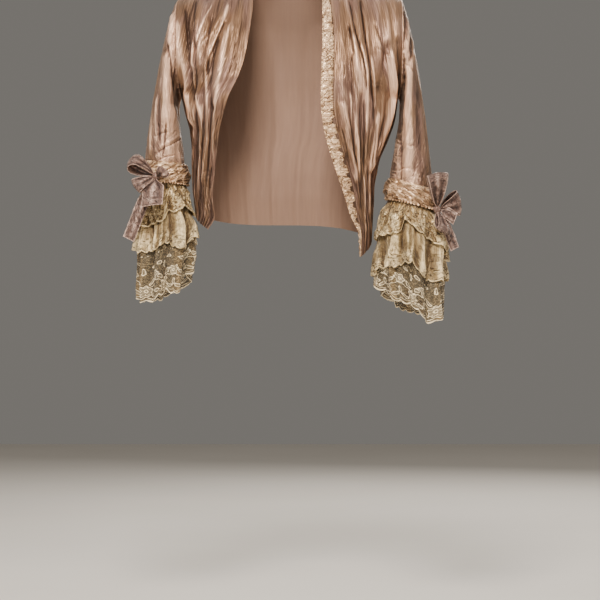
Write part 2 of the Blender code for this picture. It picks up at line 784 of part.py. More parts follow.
def flounce_surface(side, flounce):
    """A lace flounce. Level counts the shared rows, from 0 at the sleeve's end."""
    name = "right" if side < 0 else "left"
    end = SLEEVE_END[name]
    form = Track(FLOUNCE_FORM[name], "drop", "shift", "half_width", "half_depth")
    wave = Track(FLOUNCE_FORM[name], "drop", "wave")
    calm = Track(FLOUNCE_FORM[name], "drop", "calm")
    outer_to_this = FLOUNCES[: FLOUNCES.index(flounce) + 1]

    def point(around, level):
        around %= 1
        angle = around * 2 * math.pi
        heights = flounce_heights(side, around)
        row = min(int(level), len(FLOUNCE_ROWS) - 2)
        above, below = heights[FLOUNCE_ROWS[row]], heights[FLOUNCE_ROWS[row + 1]]
        z = above + (below - above) * (level - row)
        drop = heights["top"] - z
        shape = form.at(drop)
        inner = max(0.0, math.cos(angle))
        out = wave.at(drop) * (1 - (1 - calm.at(drop)) * inner) * sum(
            row["share"] * math.sin(2 * math.pi * (row["count"] * around + row["phase"]))
            for row in SHARED_WAVES
        )
        # A covered flounce follows the waves of those over it, and adds its own below.
        for row in outer_to_this[1:]:
            uncovered = smoothstep((heights[row["covered_by"]] - z) / OWN_WAVE_LENGTH)
            turn = 2 * math.pi * (row["own_count"] * around + row["own_phase"])
            out += row["own_wave"] * uncovered * math.sin(turn)
        out += flounce["stand_off"] - flounce["spread"] * smoothstep((drop - UNDER_BAND) / 30)
        outer = -math.cos(angle)
        lean = end["lean"] * (1 - smoothstep(drop / (heights["top"] - heights["upper"])))
        return Vector((
            end["x"] + side * (shape.x + outer * (shape.y + out)),
            end["y"] - math.sin(angle) * (shape.z + out),
            z - lean * outer,
        ))

    return point


def make_sleeves(silk, band, lace):
    sleeve_columns = 2 * (len(ARMHOLE_LEVELS) - 1)
    for name, side in (("right", -1), ("left", 1)):
        cloth(
            f"sleeve_{name}", sleeve_surface(side), sleeve_columns,
            even_levels(SLEEVE_ROWS), SILK_WALL, silk, ring=True,
        )
        cloth(
            f"cuff_band_{name}", cuff_band_surface(side), CUFF_BAND["columns"],
            even_levels(4), SILK_WALL, band, ring=True,
        )
        for flounce in FLOUNCES:
            rows = range(FLOUNCE_ROWS.index(flounce["name"]) + 1)
            cloth(
                f"flounce_{flounce['name']}_{name}", flounce_surface(side, flounce),
                FLOUNCE_ROUND, rows, LACE_WALL, lace, ring=True,
            )


def bow_axes(bow):
    """The bow's own axes: along the cuff, away from the arm and up."""
    along = Vector((math.cos(bow["face"]), math.sin(bow["face"]), 0))
    away = Vector((along.y, -along.x, 0))
    return along, away, Vector((0, 0, 1))


def ribbon_axes(row, axes, twist=0.0):
    """The way that a loop or tail runs, the ribbon's own width and the side that it faces."""
    along, away, up = axes
    ahead = (along * row["reach"] + away * row["out"] + up * row["up"]).normalized()
    width = ahead.cross(away).normalized()
    facing = width.cross(ahead).normalized()
    turn = Quaternion(ahead, math.radians(twist))
    return ahead, turn @ width, turn @ facing


def loop_surface(knot, row, axes):
    """A ribbon loop that leaves the knot, swells and comes back to it."""
    ahead, width, facing = ribbon_axes(row, axes, row["twist"])

    def point(across, level):
        turn = level * math.pi
        full = math.sin(turn)
        side = 2 * across - 1
        # The middle of the ribbon reaches furthest, which rounds the loop's end.
        length = row["length"] - 0.10 * row["width"] * side * side
        reach = LOOP_ROOT + (length - LOOP_ROOT) * full**0.75
        # The two runs stand apart from the knot on, so the loop stays open.
        opening = row["depth"] / 2 - ROOT_HALF_OPENING
        open_by = ROOT_HALF_OPENING + opening * full**0.6
        half = ROOT_HALF_WIDTH + (row["width"] / 2 - ROOT_HALF_WIDTH) * full**0.5
        cup = LOOP_CUP * (1 - side * side) * full
        return (
            knot + ahead * reach + facing * (open_by + cup) * math.cos(turn)
            + width * half * side
        )

    return point


def tail_surface(knot, row, axes):
    """A ribbon tail that hangs from the knot with a soft wave."""
    ahead, width, facing = ribbon_axes(row, axes)

    def point(across, level):
        spread = smoothstep(level * 2.2 + 0.02)
        half = ROOT_HALF_WIDTH + (row["width"] / 2 - ROOT_HALF_WIDTH) * spread
        side = 2 * across - 1
        wave = TAIL_WAVE["height"] * math.sin(level * TAIL_WAVE["turn"]) * level
        cup = TAIL_CUP * (1 - side * side) * (1 - 0.5 * level) * spread
        # The tail drops more steeply the further it gets from the knot.
        fall = Vector((0, 0, -TAIL_FALL * row["length"] * level**2))
        reach = TAIL_ROOT + (row["length"] - TAIL_ROOT) * level
        return knot + ahead * reach + fall + facing * (wave + cup) + width * half * side

    return point


def bow_place(side):
    """The middle of a bow's knot, just off its cuff band."""
    bow = BOW["right" if side < 0 else "left"]
    seat = cuff_band_surface(side)(bow["around"], bow["level"])
    return seat + bow_axes(bow)[1] * (SILK_WALL / 2 + bow["seat"] + KNOT["half_depth"])


def make_knot(name, place, bow, finish):
    bpy.ops.mesh.primitive_uv_sphere_add(segments=10, ring_count=6, radius=MM)
    made = bpy.context.object
    made.name = name
    made.data.name = name
    made.scale = (KNOT["half_width"], KNOT["half_depth"], KNOT["half_height"])
    made.rotation_euler = (0, 0, bow["face"])
    made.location = place * MM
    made.data.shade_smooth()
    made.data.materials.append(finish)
    for collection in made.users_collection:
        collection.objects.unlink(made)
    JACKET.objects.link(made)


def make_bows(finish):
    for name, side in (("right", -1), ("left", 1)):
        bow = BOW[name]
        place = bow_place(side)
        axes = bow_axes(bow)
        make_knot(f"bow_knot_{name}", place, bow, finish)
        for row in BOW_LOOPS[name]:
            surface = loop_surface(place, row, axes)
            cloth(f"bow_{row['name']}_{name}", surface, 2, even_levels(10), SILK_WALL, finish)
        for row in BOW_TAILS[name]:
            surface = tail_surface(place, row, axes)
            cloth(f"bow_{row['name']}_{name}", surface, 2, even_levels(5), SILK_WALL, finish)


for old in list(bpy.data.objects):
    bpy.data.objects.remove(old)
JACKET = bpy.data.collections.new("bodice_jacket")
bpy.context.scene.collection.children.link(JACKET)

silk = material("rose silk", SILK_COLOUR, 0.42)
shirred = material("shirred gold silk", BAND_COLOUR, 0.5)
lace = material("ecru lace", LACE_COLOUR, 0.8)
ribbon = material("mauve ribbon", BOW_COLOUR, 0.5)

make_panels(silk)
make_front_band(shirred)
make_sleeves(silk, shirred, lace)
make_bows(ribbon)
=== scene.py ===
# Looks for a bodice jacket of crinkled rose silk, worn open, with a shirred band down one
# front, shirred cuff bands, three lace flounces on each sleeve and a ribbon bow at each elbow.
# Tables are in millimetres, in the model's own frame: +Z is up, the front faces -Y and the
# right front lies at -X.

import math

import bmesh
import bpy
import numpy as np
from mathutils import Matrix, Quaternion, Vector, noise


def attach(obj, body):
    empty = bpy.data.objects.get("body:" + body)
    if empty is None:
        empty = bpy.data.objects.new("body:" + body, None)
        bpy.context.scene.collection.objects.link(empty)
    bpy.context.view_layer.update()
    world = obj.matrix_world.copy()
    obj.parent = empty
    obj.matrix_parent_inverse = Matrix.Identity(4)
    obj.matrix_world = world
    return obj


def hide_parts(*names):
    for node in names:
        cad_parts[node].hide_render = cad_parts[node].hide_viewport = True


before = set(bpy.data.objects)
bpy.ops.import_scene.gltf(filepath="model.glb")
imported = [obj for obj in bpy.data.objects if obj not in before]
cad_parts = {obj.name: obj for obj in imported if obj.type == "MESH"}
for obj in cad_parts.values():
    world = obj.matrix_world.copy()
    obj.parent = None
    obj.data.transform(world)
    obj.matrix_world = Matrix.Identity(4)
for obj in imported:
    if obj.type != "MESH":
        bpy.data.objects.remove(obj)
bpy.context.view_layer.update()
mm = 0.001
sides = {"right": -1, "left": 1}
collection = bpy.context.scene.collection

view = {"place": (0.0176, -3.6, -0.549), "reach": 3.6, "halfWidth": 0.528, "farthest": 50}
lampAim = Vector((0, 0, -0.3))
studioAir = {"colour": (0.86, 0.82, 0.76, 1), "strength": 0.21}

lens = bpy.data.cameras.new("camera")
lens.angle = 2 * math.atan(view["halfWidth"] / view["reach"])
lens.clip_end = view["farthest"]
watcher = bpy.data.objects.new("camera", lens)
watcher.location = view["place"]
watcher.rotation_euler = (math.pi / 2, 0, 0)
collection.objects.link(watcher)
bpy.context.scene.camera = watcher

lamps = (
    # name, place, size, watts, colour
    ("key", (-0.25, -2.0, 1.15), 0.6, 66, (1.0, 0.96, 0.91)),
    ("front", (0.1, -3.2, -0.2), 1.2, 20, (1.0, 0.97, 0.93)),
    ("right", (-2.7, 0.2, 0.5), 1.6, 14, (1.0, 0.98, 0.95)),
    ("left", (2.7, 0.2, 0.5), 1.6, 14, (1.0, 0.98, 0.95)),
    ("top", (0.0, 0.5, 1.6), 2.0, 14, (1.0, 0.98, 0.96)),
    ("back", (0.7, 2.6, 0.8), 1.4, 36, (1.0, 0.97, 0.93)),
)
for name, place, size, watts, colour in lamps:
    light = bpy.data.lights.new(name, "AREA")
    light.size, light.energy, light.color = size, watts, colour
    lamp = bpy.data.objects.new(name, light)
    lamp.location = place
    lamp.rotation_euler = (lampAim - Vector(place)).to_track_quat("-Z", "Y").to_euler()
    collection.objects.link(lamp)

air = bpy.data.worlds.new("studio")
air.use_nodes = True
airSockets = air.node_tree.nodes["Background"].inputs
airSockets["Color"].default_value = studioAir["colour"]
airSockets["Strength"].default_value = studioAir["strength"]
bpy.context.scene.world = air
bpy.context.scene.view_settings.look = "AgX - Medium High Contrast"
print("camera and light ready")


class Wire:  # a shader value that can stand in a Python sum
    def __init__(self, shade, socket):
        self.shade, self.socket = shade, socket

    def __add__(self, other):
        return self.shade.maths("ADD", self, other)

    def __sub__(self, other):
        return self.shade.maths("SUBTRACT", self, other)

    def __rsub__(self, other):
        return self.shade.maths("SUBTRACT", other, self)

    def __mul__(self, other):
        return self.shade.maths("MULTIPLY", self, other)

    def __truediv__(self, other):
        return self.shade.maths("DIVIDE", self, other)

    def __neg__(self):
        return self * -1.0

    def __abs__(self):
        return self.shade.maths("ABSOLUTE", self)

    __radd__ = __add__
    __rmul__ = __mul__

    def most(self, other):
        return self.shade.maths("MAXIMUM", self, other)

    def least(self, other):
        return self.shade.maths("MINIMUM", self, other)

    def within(self, step):  # signed place inside a repeat of step, from the middle
        return self - self.shade.maths("ROUND", self / step) * step

    def apart(self, step):  # distance to the nearest multiple of step
        return abs(self.within(step))

    def under(self, low, high):  # 1 below low, 0 above high, eased between
        return self.shade.ranged(self, low, high, 1.0, 0.0)

    def over(self, low, high):
        return self.shade.ranged(self, low, high, 0.0, 1.0)

    def lines(self, width, middle=0.5):  # thin lines where a noise passes its middle
        return abs(self - middle).under(0.0, width)


class Shade:  # the nodes of one material
    def __init__(self, name):
        self.material = bpy.data.materials.new(name)
        self.material.use_nodes = True
        self.nodes = self.material.node_tree.nodes
        self.links = self.material.node_tree.links
        self.nodes.clear()
        cut = Wire(self, self.node("ShaderNodeUVMap", {"uv_map": "cut"}).outputs["UV"])
        place = self.node("ShaderNodeSeparateXYZ", sockets={"Vector": cut})
        self.across = Wire(self, place.outputs["X"]) * 1000.0  # millimetres of cloth
        self.along = Wire(self, place.outputs["Y"]) * 1000.0

    def node(self, kind, settings=None, sockets=None):
        made = self.nodes.new(kind)
        for name, value in (settings or {}).items():
            setattr(made, name, value)
        for name, value in (sockets or {}).items():
            if isinstance(value, Wire):
                self.links.new(value.socket, made.inputs[name])
            else:
                made.inputs[name].default_value = value
        return made

    def maths(self, operation, *values):
        made = self.node("ShaderNodeMath", {"operation": operation}, dict(enumerate(values)))
        return Wire(self, made.outputs[0])

    def ranged(self, value, low, high, atLow, atHigh):
        sockets = {0: value, 1: low, 2: high, 3: atLow, 4: atHigh}
        eased = {"interpolation_type": "SMOOTHSTEP"}
        return Wire(self, self.node("ShaderNodeMapRange", eased, sockets).outputs[0])

    def point(self, x, y, z=0.0):
        made = self.node("ShaderNodeCombineXYZ", sockets={0: x, 1: y, 2: z})
        return Wire(self, made.outputs[0])

    def distance(self, x, y):
        return self.maths("SQRT", x * x + y * y)

    def noise(self, place, rough=0.5, bend=0.0, detail=2):
        made = self.node("ShaderNodeTexNoise", sockets={
            "Vector": place, "Scale": 1.0, "Detail": detail, "Roughness": rough,
            "Distortion": bend,
        })
        return Wire(self, made.outputs["Fac"])

    def pattern(self, wide, long, seed=0.0, rough=0.5, bend=0.0, detail=2):
        place = self.point(self.across * wide, self.along * long, seed)
        return self.noise(place, rough, bend, detail)

    def attribute(self, name):
        made = self.node("ShaderNodeAttribute", {"attribute_name": name})
        return Wire(self, made.outputs["Fac"])

    def mixed(self, factor, first, second):
        sockets = {0: factor, 6: first, 7: second}
        made = self.node("ShaderNodeMix", {"data_type": "RGBA"}, sockets)
        return Wire(self, made.outputs[2])

    def toned(self, lift, colours, lit, dim):  # lit and dim: from, to and strength
        body, light, dark = colours
        colour = self.mixed(lift.over(lit[0], lit[1]) * lit[2], body, light)
        return self.mixed((-lift).over(dim[0], dim[1]) * dim[2], colour, dark)

    def bump(self, height, distance, strength=1.0, under=None):
        sockets = {"Height": height, "Distance": distance, "Strength": strength}
        if under is not None:
            sockets["Normal"] = under
        return Wire(self, self.node("ShaderNodeBump", sockets=sockets).outputs["Normal"])

    def finish(self, **sockets):
        named = {name.replace("_", " "): value for name, value in sockets.items()}
        shader = self.node("ShaderNodeBsdfPrincipled", sockets=named)
        out = self.node("ShaderNodeOutputMaterial")
        self.links.new(shader.outputs[0], out.inputs["Surface"])
        return self.material


def rgb(red, green, blue):  # an sRGB colour of 0 to 255 as the linear one that nodes use
    return (*[((v / 255 + 0.055) / 1.055) ** 2.4 for v in (red, green, blue)], 1.0)


def tableOf(columns, *rows):
    return {name: np.array(column) for name, column in zip(columns.split(), zip(*rows))}


def ease(t):
    t = np.clip(t, 0.0, 1.0)
    return t * t * (3 - 2 * t)


def curve(s, start, leave, stop, arrive):  # a cubic from start to stop, with its end slopes
    return (
        (2 * s**3 - 3 * s**2 + 1) * start + (s**3 - 2 * s**2 + s) * leave
        + (3 * s**2 - 2 * s**3) * stop + (s**3 - s**2) * arrive
    )


class Track:  # a smooth line through a table's rows that never swings past them
    def __init__(self, knots, *columns):
        self.knots = np.asarray(knots, float)
        self.values = np.stack([np.asarray(c, float) for c in columns], -1)
        steps = np.diff(self.values, axis=0) / np.diff(self.knots)[:, None]
        both, product = steps[1:] + steps[:-1], steps[1:] * steps[:-1]
        inner = np.where(product > 0, 2 * product / np.where(both == 0, 1, both), 0.0)
        self.slopes = np.concatenate([steps[:1], inner, steps[-1:]])

    def at(self, t):
        t = np.asarray(t, float)
        i = np.clip(np.searchsorted(self.knots, t) - 1, 0, len(self.knots) - 2)
        span = self.knots[i + 1] - self.knots[i]
        s, span = ((t - self.knots[i]) / span)[..., None], span[..., None]
        leave, arrive = span * self.slopes[i], span * self.slopes[i + 1]
        found = curve(s, self.values[i], leave, self.values[i + 1], arrive)
        return found[..., 0] if found.shape[-1] == 1 else found


def trackOf(table, names, key="level"):
    return Track(table[key], *[table[name] for name in names.split()])


def ridged(values, width):  # narrow crests where a noise passes nought
    return np.clip(1 - np.abs(values) / width, 0, 1)


def grain(u, v, wide, long, seed):  # smooth noise, stretched along the cloth
    return np.array([noise.noise(Vector((a / wide, b / long, seed))) for a, b in zip(u, v)])


def crests(u, v, wide, long, seed, wander=0.0):  # crests that wander and join
    if wander:
        u = u + wander * grain(u, v, wide * 6, long * 0.6, seed + 31.7)
    return ridged(grain(u, v, wide, long, seed), 0.28)


def ringGrain(angle, radius, w, wide, tall, seed, skew=(0.0, 0.0)):
    # noise round a circle, so that it joins at the seam
    found = []
    for a, b, c in zip(np.cos(angle) * radius, np.sin(angle) * radius, w):
        height = (c + skew[0] * a + skew[1] * b) / tall + seed
        found.append(noise.noise(Vector((a / wide, b / wide, height))))
    return np.array(found)


def seenFrom(points):  # where the camera sees them, on the plane through the shoulders
    away, middleX, middleZ = (v / mm for v in (view["reach"], view["place"][0], view["place"][2]))
    scale = away / (away + points[:, 1])
    return middleX + (points[:, 0] - middleX) * scale, middleZ + (points[:, 2] - middleZ) * scale


handFolds = {  # the ends fade out, and valleys are narrower than ridges
    "foldEnd": 16.0, "creaseEnd": 6.0, "ridge": 0.9, "valley": 0.72, "power": 1.45,
    "creaseShade": 0.5, "darkest": -1.15, "lightest": 1.3,
}


def foldsOn(points, folds, creases=()):  # listed folds, as height and as shade
    seenX, seenZ = seenFrom(points)
    total, shade = np.zeros(len(points)), np.zeros(len(points))
    for rows, at, away, end, strength in (
        (folds, seenZ, seenX, handFolds["foldEnd"], 1.0),
        (creases, seenX, seenZ, handFolds["creaseEnd"], handFolds["creaseShade"]),
    ):
        for half, height, path in rows:
            ends, places = zip(*sorted(path))
            centre = Track(ends, places).at(np.clip(at, ends[0], ends[-1]))
            fade = min(end, (ends[-1] - ends[0]) / 3)
            reach = ease((at - ends[0]) / fade + 0.5) * ease((ends[-1] - at) / fade + 0.5)
            keen = half * handFolds["ridge" if height > 0 else "valley"]
            fold = reach * np.exp(-np.abs((away - centre) / keen) ** handFolds["power"])
            total += height * fold
            shade += height / half * fold * strength
    return total, np.clip(shade, handFolds["darkest"], handFolds["lightest"])


def slope(form, across, level, sign):  # the outward direction of a form
    d = 0.003
    along = form(np.minimum(across + d, 1), level) - form(np.maximum(across - d, 0), level)
    up = form(across, np.minimum(level + d, 1)) - form(across, np.maximum(level - d, 0))
    normal = np.cross(along, up) * sign
    return normal / np.maximum(np.linalg.norm(normal, axis=1), 1e-9)[:, None]


def seenShare(out):  # 1 where the cloth faces the camera, 0 where it turns away
    return ease(np.clip(-out[:, 1], 0, 1) * 2.5)


def rowLengths(form, levels, steps=48):
    across = np.linspace(0, 1, steps + 1)
    rows = (form(across, np.full(steps + 1, level)) for level in levels)
    return np.array([np.linalg.norm(np.diff(row, axis=0), axis=1).sum() for row in rows])


def meshOf(name, bm):
    mesh = bpy.data.meshes.new(name)
    bm.to_mesh(mesh)
    bm.free()
    return mesh


def sheetMesh(name, form, piece, ring=False, inward=False):
    # form takes across and level, and gives points, the cloth's own place and the painted shade of
    # its folds
    bm = bmesh.new()
    bm.loops.layers.uv.new("cut")
    columns, rows = piece["columns"], piece["rows"]
    bmesh.ops.create_grid(bm, x_segments=columns, y_segments=rows, size=1, calc_uvs=True)
    flat = np.array([v.co[:2] for v in bm.verts])
    low, high = piece.get("span", (0.0, 1.0))
    across = low + (high - low) * (flat[:, 0] + 1) / 2
    points, cut, depth = form(across, (flat[:, 1] + 1) / 2)
    paintedShadeLayer = bm.verts.layers.float.new("fold")
    cutLayer = bm.loops.layers.uv["cut"]
    # each point keeps its painted light and shade as the fold attribute, which the finishes mix
    # into colour
    for vert, point, fold in zip(bm.verts, points, depth):
        vert.co = point * mm
        vert[paintedShadeLayer] = fold
    bm.verts.index_update()
    for face in bm.faces:
        for loop in face.loops:
            loop[cutLayer].uv = cut[loop.vert.index] * mm
    if ring:
        bmesh.ops.remove_doubles(bm, verts=bm.verts, dist=2e-6)
    if inward:
        bmesh.ops.reverse_faces(bm, faces=bm.faces)
    return meshOf(name, bm)


def addPiece(name, mesh, finish, node, wall=None, wrongFirst=False):
    made = bpy.data.objects.new(name, mesh)
    collection.objects.link(made)
    made.data.materials.append(finish)
    made.data.shade_smooth()
    if wall:
        shell = made.modifiers.new("clothWall", "SOLIDIFY")
        shell.thickness, shell.offset, shell.use_even_offset = wall * mm, 0.0, False
        bpy.context.view_layer.update()
        solid = bpy.data.meshes.new_from_object(
            made.evaluated_get(bpy.context.evaluated_depsgraph_get())
        )
        made.modifiers.clear()
        inner = solid.attributes.new("inner", "FLOAT", "POINT")  # 1 on the wrong side
        second = np.arange(len(solid.vertices)) >= len(mesh.vertices)
        inner.data.foreach_set("value", second != wrongFirst)
        made.data = solid
        made.data.set_sharp_from_angle(angle=math.radians(75))
    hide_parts(node)
    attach(made, "root")
    return made


def sewn(name, form, piece, finish, node, ring=False, inward=False, wrongFirst=False):
    mesh = sheetMesh(name, form, piece, ring, inward)
    made = addPiece(name, mesh, finish, node, piece["wall"], wrongFirst)
    print(name, "area", round(sheetArea(made), 4))
    return made


def sheetArea(made):  # half of a closed shell's surface is its cloth
    return sum(polygon.area for polygon in made.data.polygons) / 2


print("helpers ready")

silkFinish = {
    "shadow": rgb(70, 50, 41), "body": rgb(139, 110, 96), "light": rgb(248, 210, 182),
    "gold": rgb(148, 117, 93), "wrong": rgb(162, 136, 120), "roughness": 0.36, "lift": -0.02,
    "crinkle": 0.45, "drawn": 0.75, "waist": (150.0, 270.0), "slant": 0.0, "nick": 0.34,
    "elbow": (90.0, 230.0), "calm": 1.0, "lean": 0.0, "metal": 0.55,
}
# The sleeves' silk is lifted paler than the fronts': painted light, taken back by painted shade
# where a sleeve faces away from the camera.
sleeveFinish = {
    **silkFinish, "lift": 0.62, "crinkle": 0.4, "drawn": 0.0, "slant": 0.75, "lean": 0.25,
}
backFinish = {**silkFinish, "lift": 0.24, "crinkle": 0.13, "drawn": 0.12, "calm": 0.3}
goldFinish = {
    "shadow": rgb(84, 56, 38), "body": rgb(176, 142, 112), "light": rgb(254, 220, 184),
    "roughness": 0.36,
}
bandFinish = {**goldFinish, "wander": 2.6, "wide": 0.06, "long": 0.09, "slant": 0.02}
cuffFinish = {**goldFinish, "wander": 1.2, "wide": 0.02, "long": 0.105, "slant": -0.04}
# the darkest lace colour is painted shadow for folds, gaps and valleys
laceFinish = {
    "deep": rgb(92, 68, 42), "body": rgb(168, 139, 98), "thread": rgb(244, 220, 176),
    "sheer": rgb(118, 104, 82), "net": rgb(164, 140, 103), "scroll": rgb(248, 230, 196),
}
ribbonFinish = {
    "shadow": rgb(66, 46, 40), "body": rgb(134, 109, 98), "light": rgb(222, 192, 176),
}


def makeSilk(name, finish):  # crinkled satin
    s = Shade(name)
    thread = s.pattern(2.4, 2.4, 7.0, 0.6)
    place = s.point(s.across * 0.075 + s.along * 0.06, s.along * 0.01 - s.across * 0.014, 2.0)
    s.across = s.across + s.along * finish["lean"]
    first, second = s.pattern(0.09, 0.004, 0.0, 0.5, 0.2), s.pattern(0.13, 0.006, 9.0, 0.5, 0.2)
    fine, broad = s.pattern(0.28, 0.012, 5.0, 0.55, 0.2), s.pattern(0.035, 0.010, 3.0, 0.5, 0.4)
    ridge, valley, small = first.lines(0.04), second.lines(0.03), fine.lines(0.07)
    # fold is the painted light and shade of the folds
    fold, inner = s.attribute("fold"), s.attribute("inner")
    right = 1.0 - inner * 0.85  # the wrong side is dull and calmer
    drawn = s.along.under(*finish["waist"]) * finish["drawn"]  # sharper in the drawn-in waist
    # painted highlights on crinkle crests and painted shade in their valleys, with broad streaks
    # of tone
    creases = ridge * 0.36 - valley * 0.60 + (small - 0.4) * 0.5
    creases = creases * (finish["crinkle"] + drawn) + (broad - 0.5) * 0.6 * finish["calm"]
    relief = (ridge - valley * 1.2 + small * 0.55) * right * (finish["crinkle"] + drawn * 0.6)
    if finish["slant"]:  # short slanted crinkles of worn sleeves, as relief and as painted highlight and shade
        short = s.noise(place, 0.55, 0.6)
        nicks = short.lines(0.04) - short.lines(0.025, 0.45)
        nicks = nicks * (0.35 + s.along.over(*finish["elbow"]) * 0.9) * finish["slant"]
        creases = creases + nicks * finish["nick"]
        relief = relief + nicks * finish["nick"]
    # lift paints light and shade into the colour: towards the light colour on ridges, towards the
    # shadow colour in valleys
    lift = finish["lift"] + fold * (0.6 + right) + creases * right
    body = s.mixed(broad.over(0.4, 0.6), finish["gold"], finish["body"])
    colour = s.mixed(lift.over(0.0, 0.9) * 0.85, body, finish["light"])
    colour = s.mixed(inner * 0.9, colour, finish["wrong"])
    colour = s.mixed((-lift).over(0.05, 1.0) * 0.9, colour, finish["shadow"])
    normal = s.bump(thread, 0.0001, 0.3, s.bump(relief, 0.0011, 0.8))
    rough = finish["roughness"] + fine * 0.14 + thread * 0.05 + (1.0 - right) * 0.4
    return s.finish(
        Base_Color=colour, Roughness=rough, Normal=normal, Metallic=finish["metal"],
        Sheen_Weight=0.1, Sheen_Roughness=0.4, Sheen_Tint=(1.0, 0.86, 0.76, 1.0),
    )


def makeShirred(name, finish):  # worm-like gathers of a drawn-up strip
    s = Shade(name)
    wave = s.pattern(0.05, 0.05, 1.0) * finish["wander"]
    wide = s.across * finish["wide"]
    long = s.along * finish["long"] + s.across * finish["slant"]
    worms = s.noise(s.point(wide + wave, long - wave), 0.5, 0.5)
    second = s.noise(s.point(wide * 1.5 - wave, long * 1.3 + wave, 4.0), 0.5, 0.5)
    ridge, valley = worms.lines(0.05), second.lines(0.035)
    # lift paints light and shade: highlights on gather crests, shade in their valleys and in the
    # painted fold shade
    lift = 0.25 + s.attribute("fold") * 0.8 + ridge * 0.6 - valley * 1.0 + (worms - 0.5) * 1.4
    tones = finish["body"], finish["light"], finish["shadow"]
    return s.finish(
        Base_Color=s.toned(lift, tones, (-0.05, 0.8, 0.9), (0.05, 0.85, 0.92)),
        Roughness=finish["roughness"] + worms * 0.1, Metallic=0.35,
        Normal=s.bump(ridge - valley * 1.1, 0.0014, 0.8), Sheen_Weight=0.1,
        Sheen_Roughness=0.4, Sheen_Tint=(1.0, 0.9, 0.78, 1.0),
    )


def netOf(s, cell, thread):  # a diamond net of fine threads, 1 on a thread
    first, second = (s.across + s.along).apart(cell), (s.across - s.along).apart(cell)
    return first.least(second).under(thread * 0.6, thread)


def flower(s, repeat, at, height, radius, petals):
    du, dv = (s.across - at).within(repeat), s.along - height
    r = s.distance(du, dv)
    angle = s.maths("ARCTAN2", dv, du)
    rim = radius * (0.60 + 0.40 * abs(s.maths("COSINE", angle * (petals / 2))))
    outline = abs(r - rim).under(0.6, 1.15)
    heart = abs(r - radius * 0.24).under(0.5, 1.0)
    return outline.most(heart).most((r - rim).under(-0.4, 0.3) * 0.35)


def leaf(s, repeat, at, height, turn, length, width):
    du, dv = (s.across - at).within(repeat), s.along - height
    c, n = math.cos(turn), math.sin(turn)
    side = (dv * c - du * n) / width
    reach = s.distance((du * c + dv * n) / length, side)
    rim = abs(reach - 0.90).under(0.13, 0.24)
    return rim.most(reach.under(0.9, 1.0) * abs(side).over(0.10, 0.25) * 0.4)


def stem(s, repeat, at, middle, swing, thick):
    wave = s.maths("SINE", (s.across - at) * (2 * math.pi / repeat))
    return abs(s.along - middle - wave * swing).under(thick * 0.6, thick)


def hemCord(s, thick):
    return s.along.under(thick, thick + 0.5)


def makeUpperLace(name):
    s = Shade(name)
    wander = s.pattern(0.05, 0.05, 2.0) * 3.0
    place = s.point(s.across * 0.095 + wander, s.along * 0.085 - wander)
    worms = s.noise(place, 0.5, 0.9)
    second = s.noise(s.point(s.across * 0.13 - wander, s.along * 0.12, 6.0), 0.5, 0.9)
    ridge, valley = worms.lines(0.055), second.lines(0.045)
    threads = hemCord(s, 2.6)
    # lift paints light and shade: pale crests, painted shade in valleys and in the painted fold
    # shade; the pale tone is also the thread's own colour
    lift = 0.2 + s.attribute("fold") * 0.9 + ridge * 0.8 - valley * 1.15 + (worms - 0.5) * 1.2
    tones = laceFinish["body"], laceFinish["thread"], laceFinish["deep"]
    colour = s.toned(lift, tones, (-0.05, 0.95, 1.0), (0.0, 0.8, 0.9))
    solid = 0.76 + lift.over(-0.5, 0.3) * 0.24
    return s.finish(
        Base_Color=s.mixed(threads * 0.8, colour, laceFinish["thread"]), Roughness=0.46,
        Alpha=solid.most(netOf(s, 2.0, 0.42)).most(threads), Metallic=0.15, Sheen_Weight=0.15,
        Normal=s.bump(ridge - valley + threads * 0.8, 0.002, 0.9),
    )


def makeMiddleLace(name):
    s = Shade(name)
    pleat = s.pattern(0.20, 0.008, 0.0, 0.6, 0.4, detail=3)
    line = s.pattern(0.30, 0.014, 4.0, 0.5, 0.3)
    border = s.along.under(15.0, 25.0)
    wander = s.pattern(0.05, 0.05, 2.0) * 3.0
    place = s.point(s.across * 0.10 + wander, s.along * 0.11 - wander, 8.0)
    worms = s.noise(place, 0.5, 0.9)
    curls, gaps = worms.lines(0.05), worms.lines(0.035, 0.42)
    threads = hemCord(s, 2.4)
    strength = 0.22 + border * 0.78  # the border's relief, faint on the net above it
    # lift paints light and shade: lit and shaded pleat stripes, painted shade in the gaps and the
    # fold shade, with the border's paler thread
    lift = 0.08 + s.attribute("fold") * 0.9 + (pleat - 0.5) * 2.4 * (1.0 - border * 0.7)
    lift = lift + border * 0.28 + (curls * 0.8 - gaps * 1.3) * strength + (worms - 0.5) * 1.2
    lift = lift - line.lines(0.035) * 0.6 * (1.0 - border * 0.5)
    tones = laceFinish["net"], laceFinish["thread"], laceFinish["deep"]
    colour = s.toned(lift, tones, (-0.05, 0.95, 0.95), (0.0, 0.9, 0.85))
    solid = 0.66 + border * 0.24 + netOf(s, 1.9, 0.5) * 0.34
    relief = threads * 0.8 + (curls * 1.2 - gaps * 1.4) * strength + pleat * 1.6
    return s.finish(
        Base_Color=s.mixed(threads * 0.8, colour, laceFinish["thread"]), Roughness=0.5,
        Alpha=solid.most(threads).most(curls * strength), Metallic=0.08, Sheen_Weight=0.15,
        Normal=s.bump(relief, 0.0018, 0.9),
    )


lowerMotifs = {
    "repeat": 46.0,
    "flowers": ((0.0, 17.0, 9.5, 7), (23.0, 41.0, 8.5, 6)),  # place, height, radius, petals
    "leaves": (  # place, height, turn and length
        (15.0, 13.0, 0.5, 6.5), (31.0, 13.0, 2.6, 6.5), (23.0, 21.0, 1.57, 6.0),
        (9.0, 34.0, 1.0, 6.5), (37.0, 34.0, 2.1, 6.5), (0.0, 50.0, 1.57, 6.0),
        (12.0, 58.0, 0.4, 6.0), (34.0, 60.0, 2.7, 6.0),
    ),
    "leafWidth": 0.36, "bend": (10.0, 8.0),
}


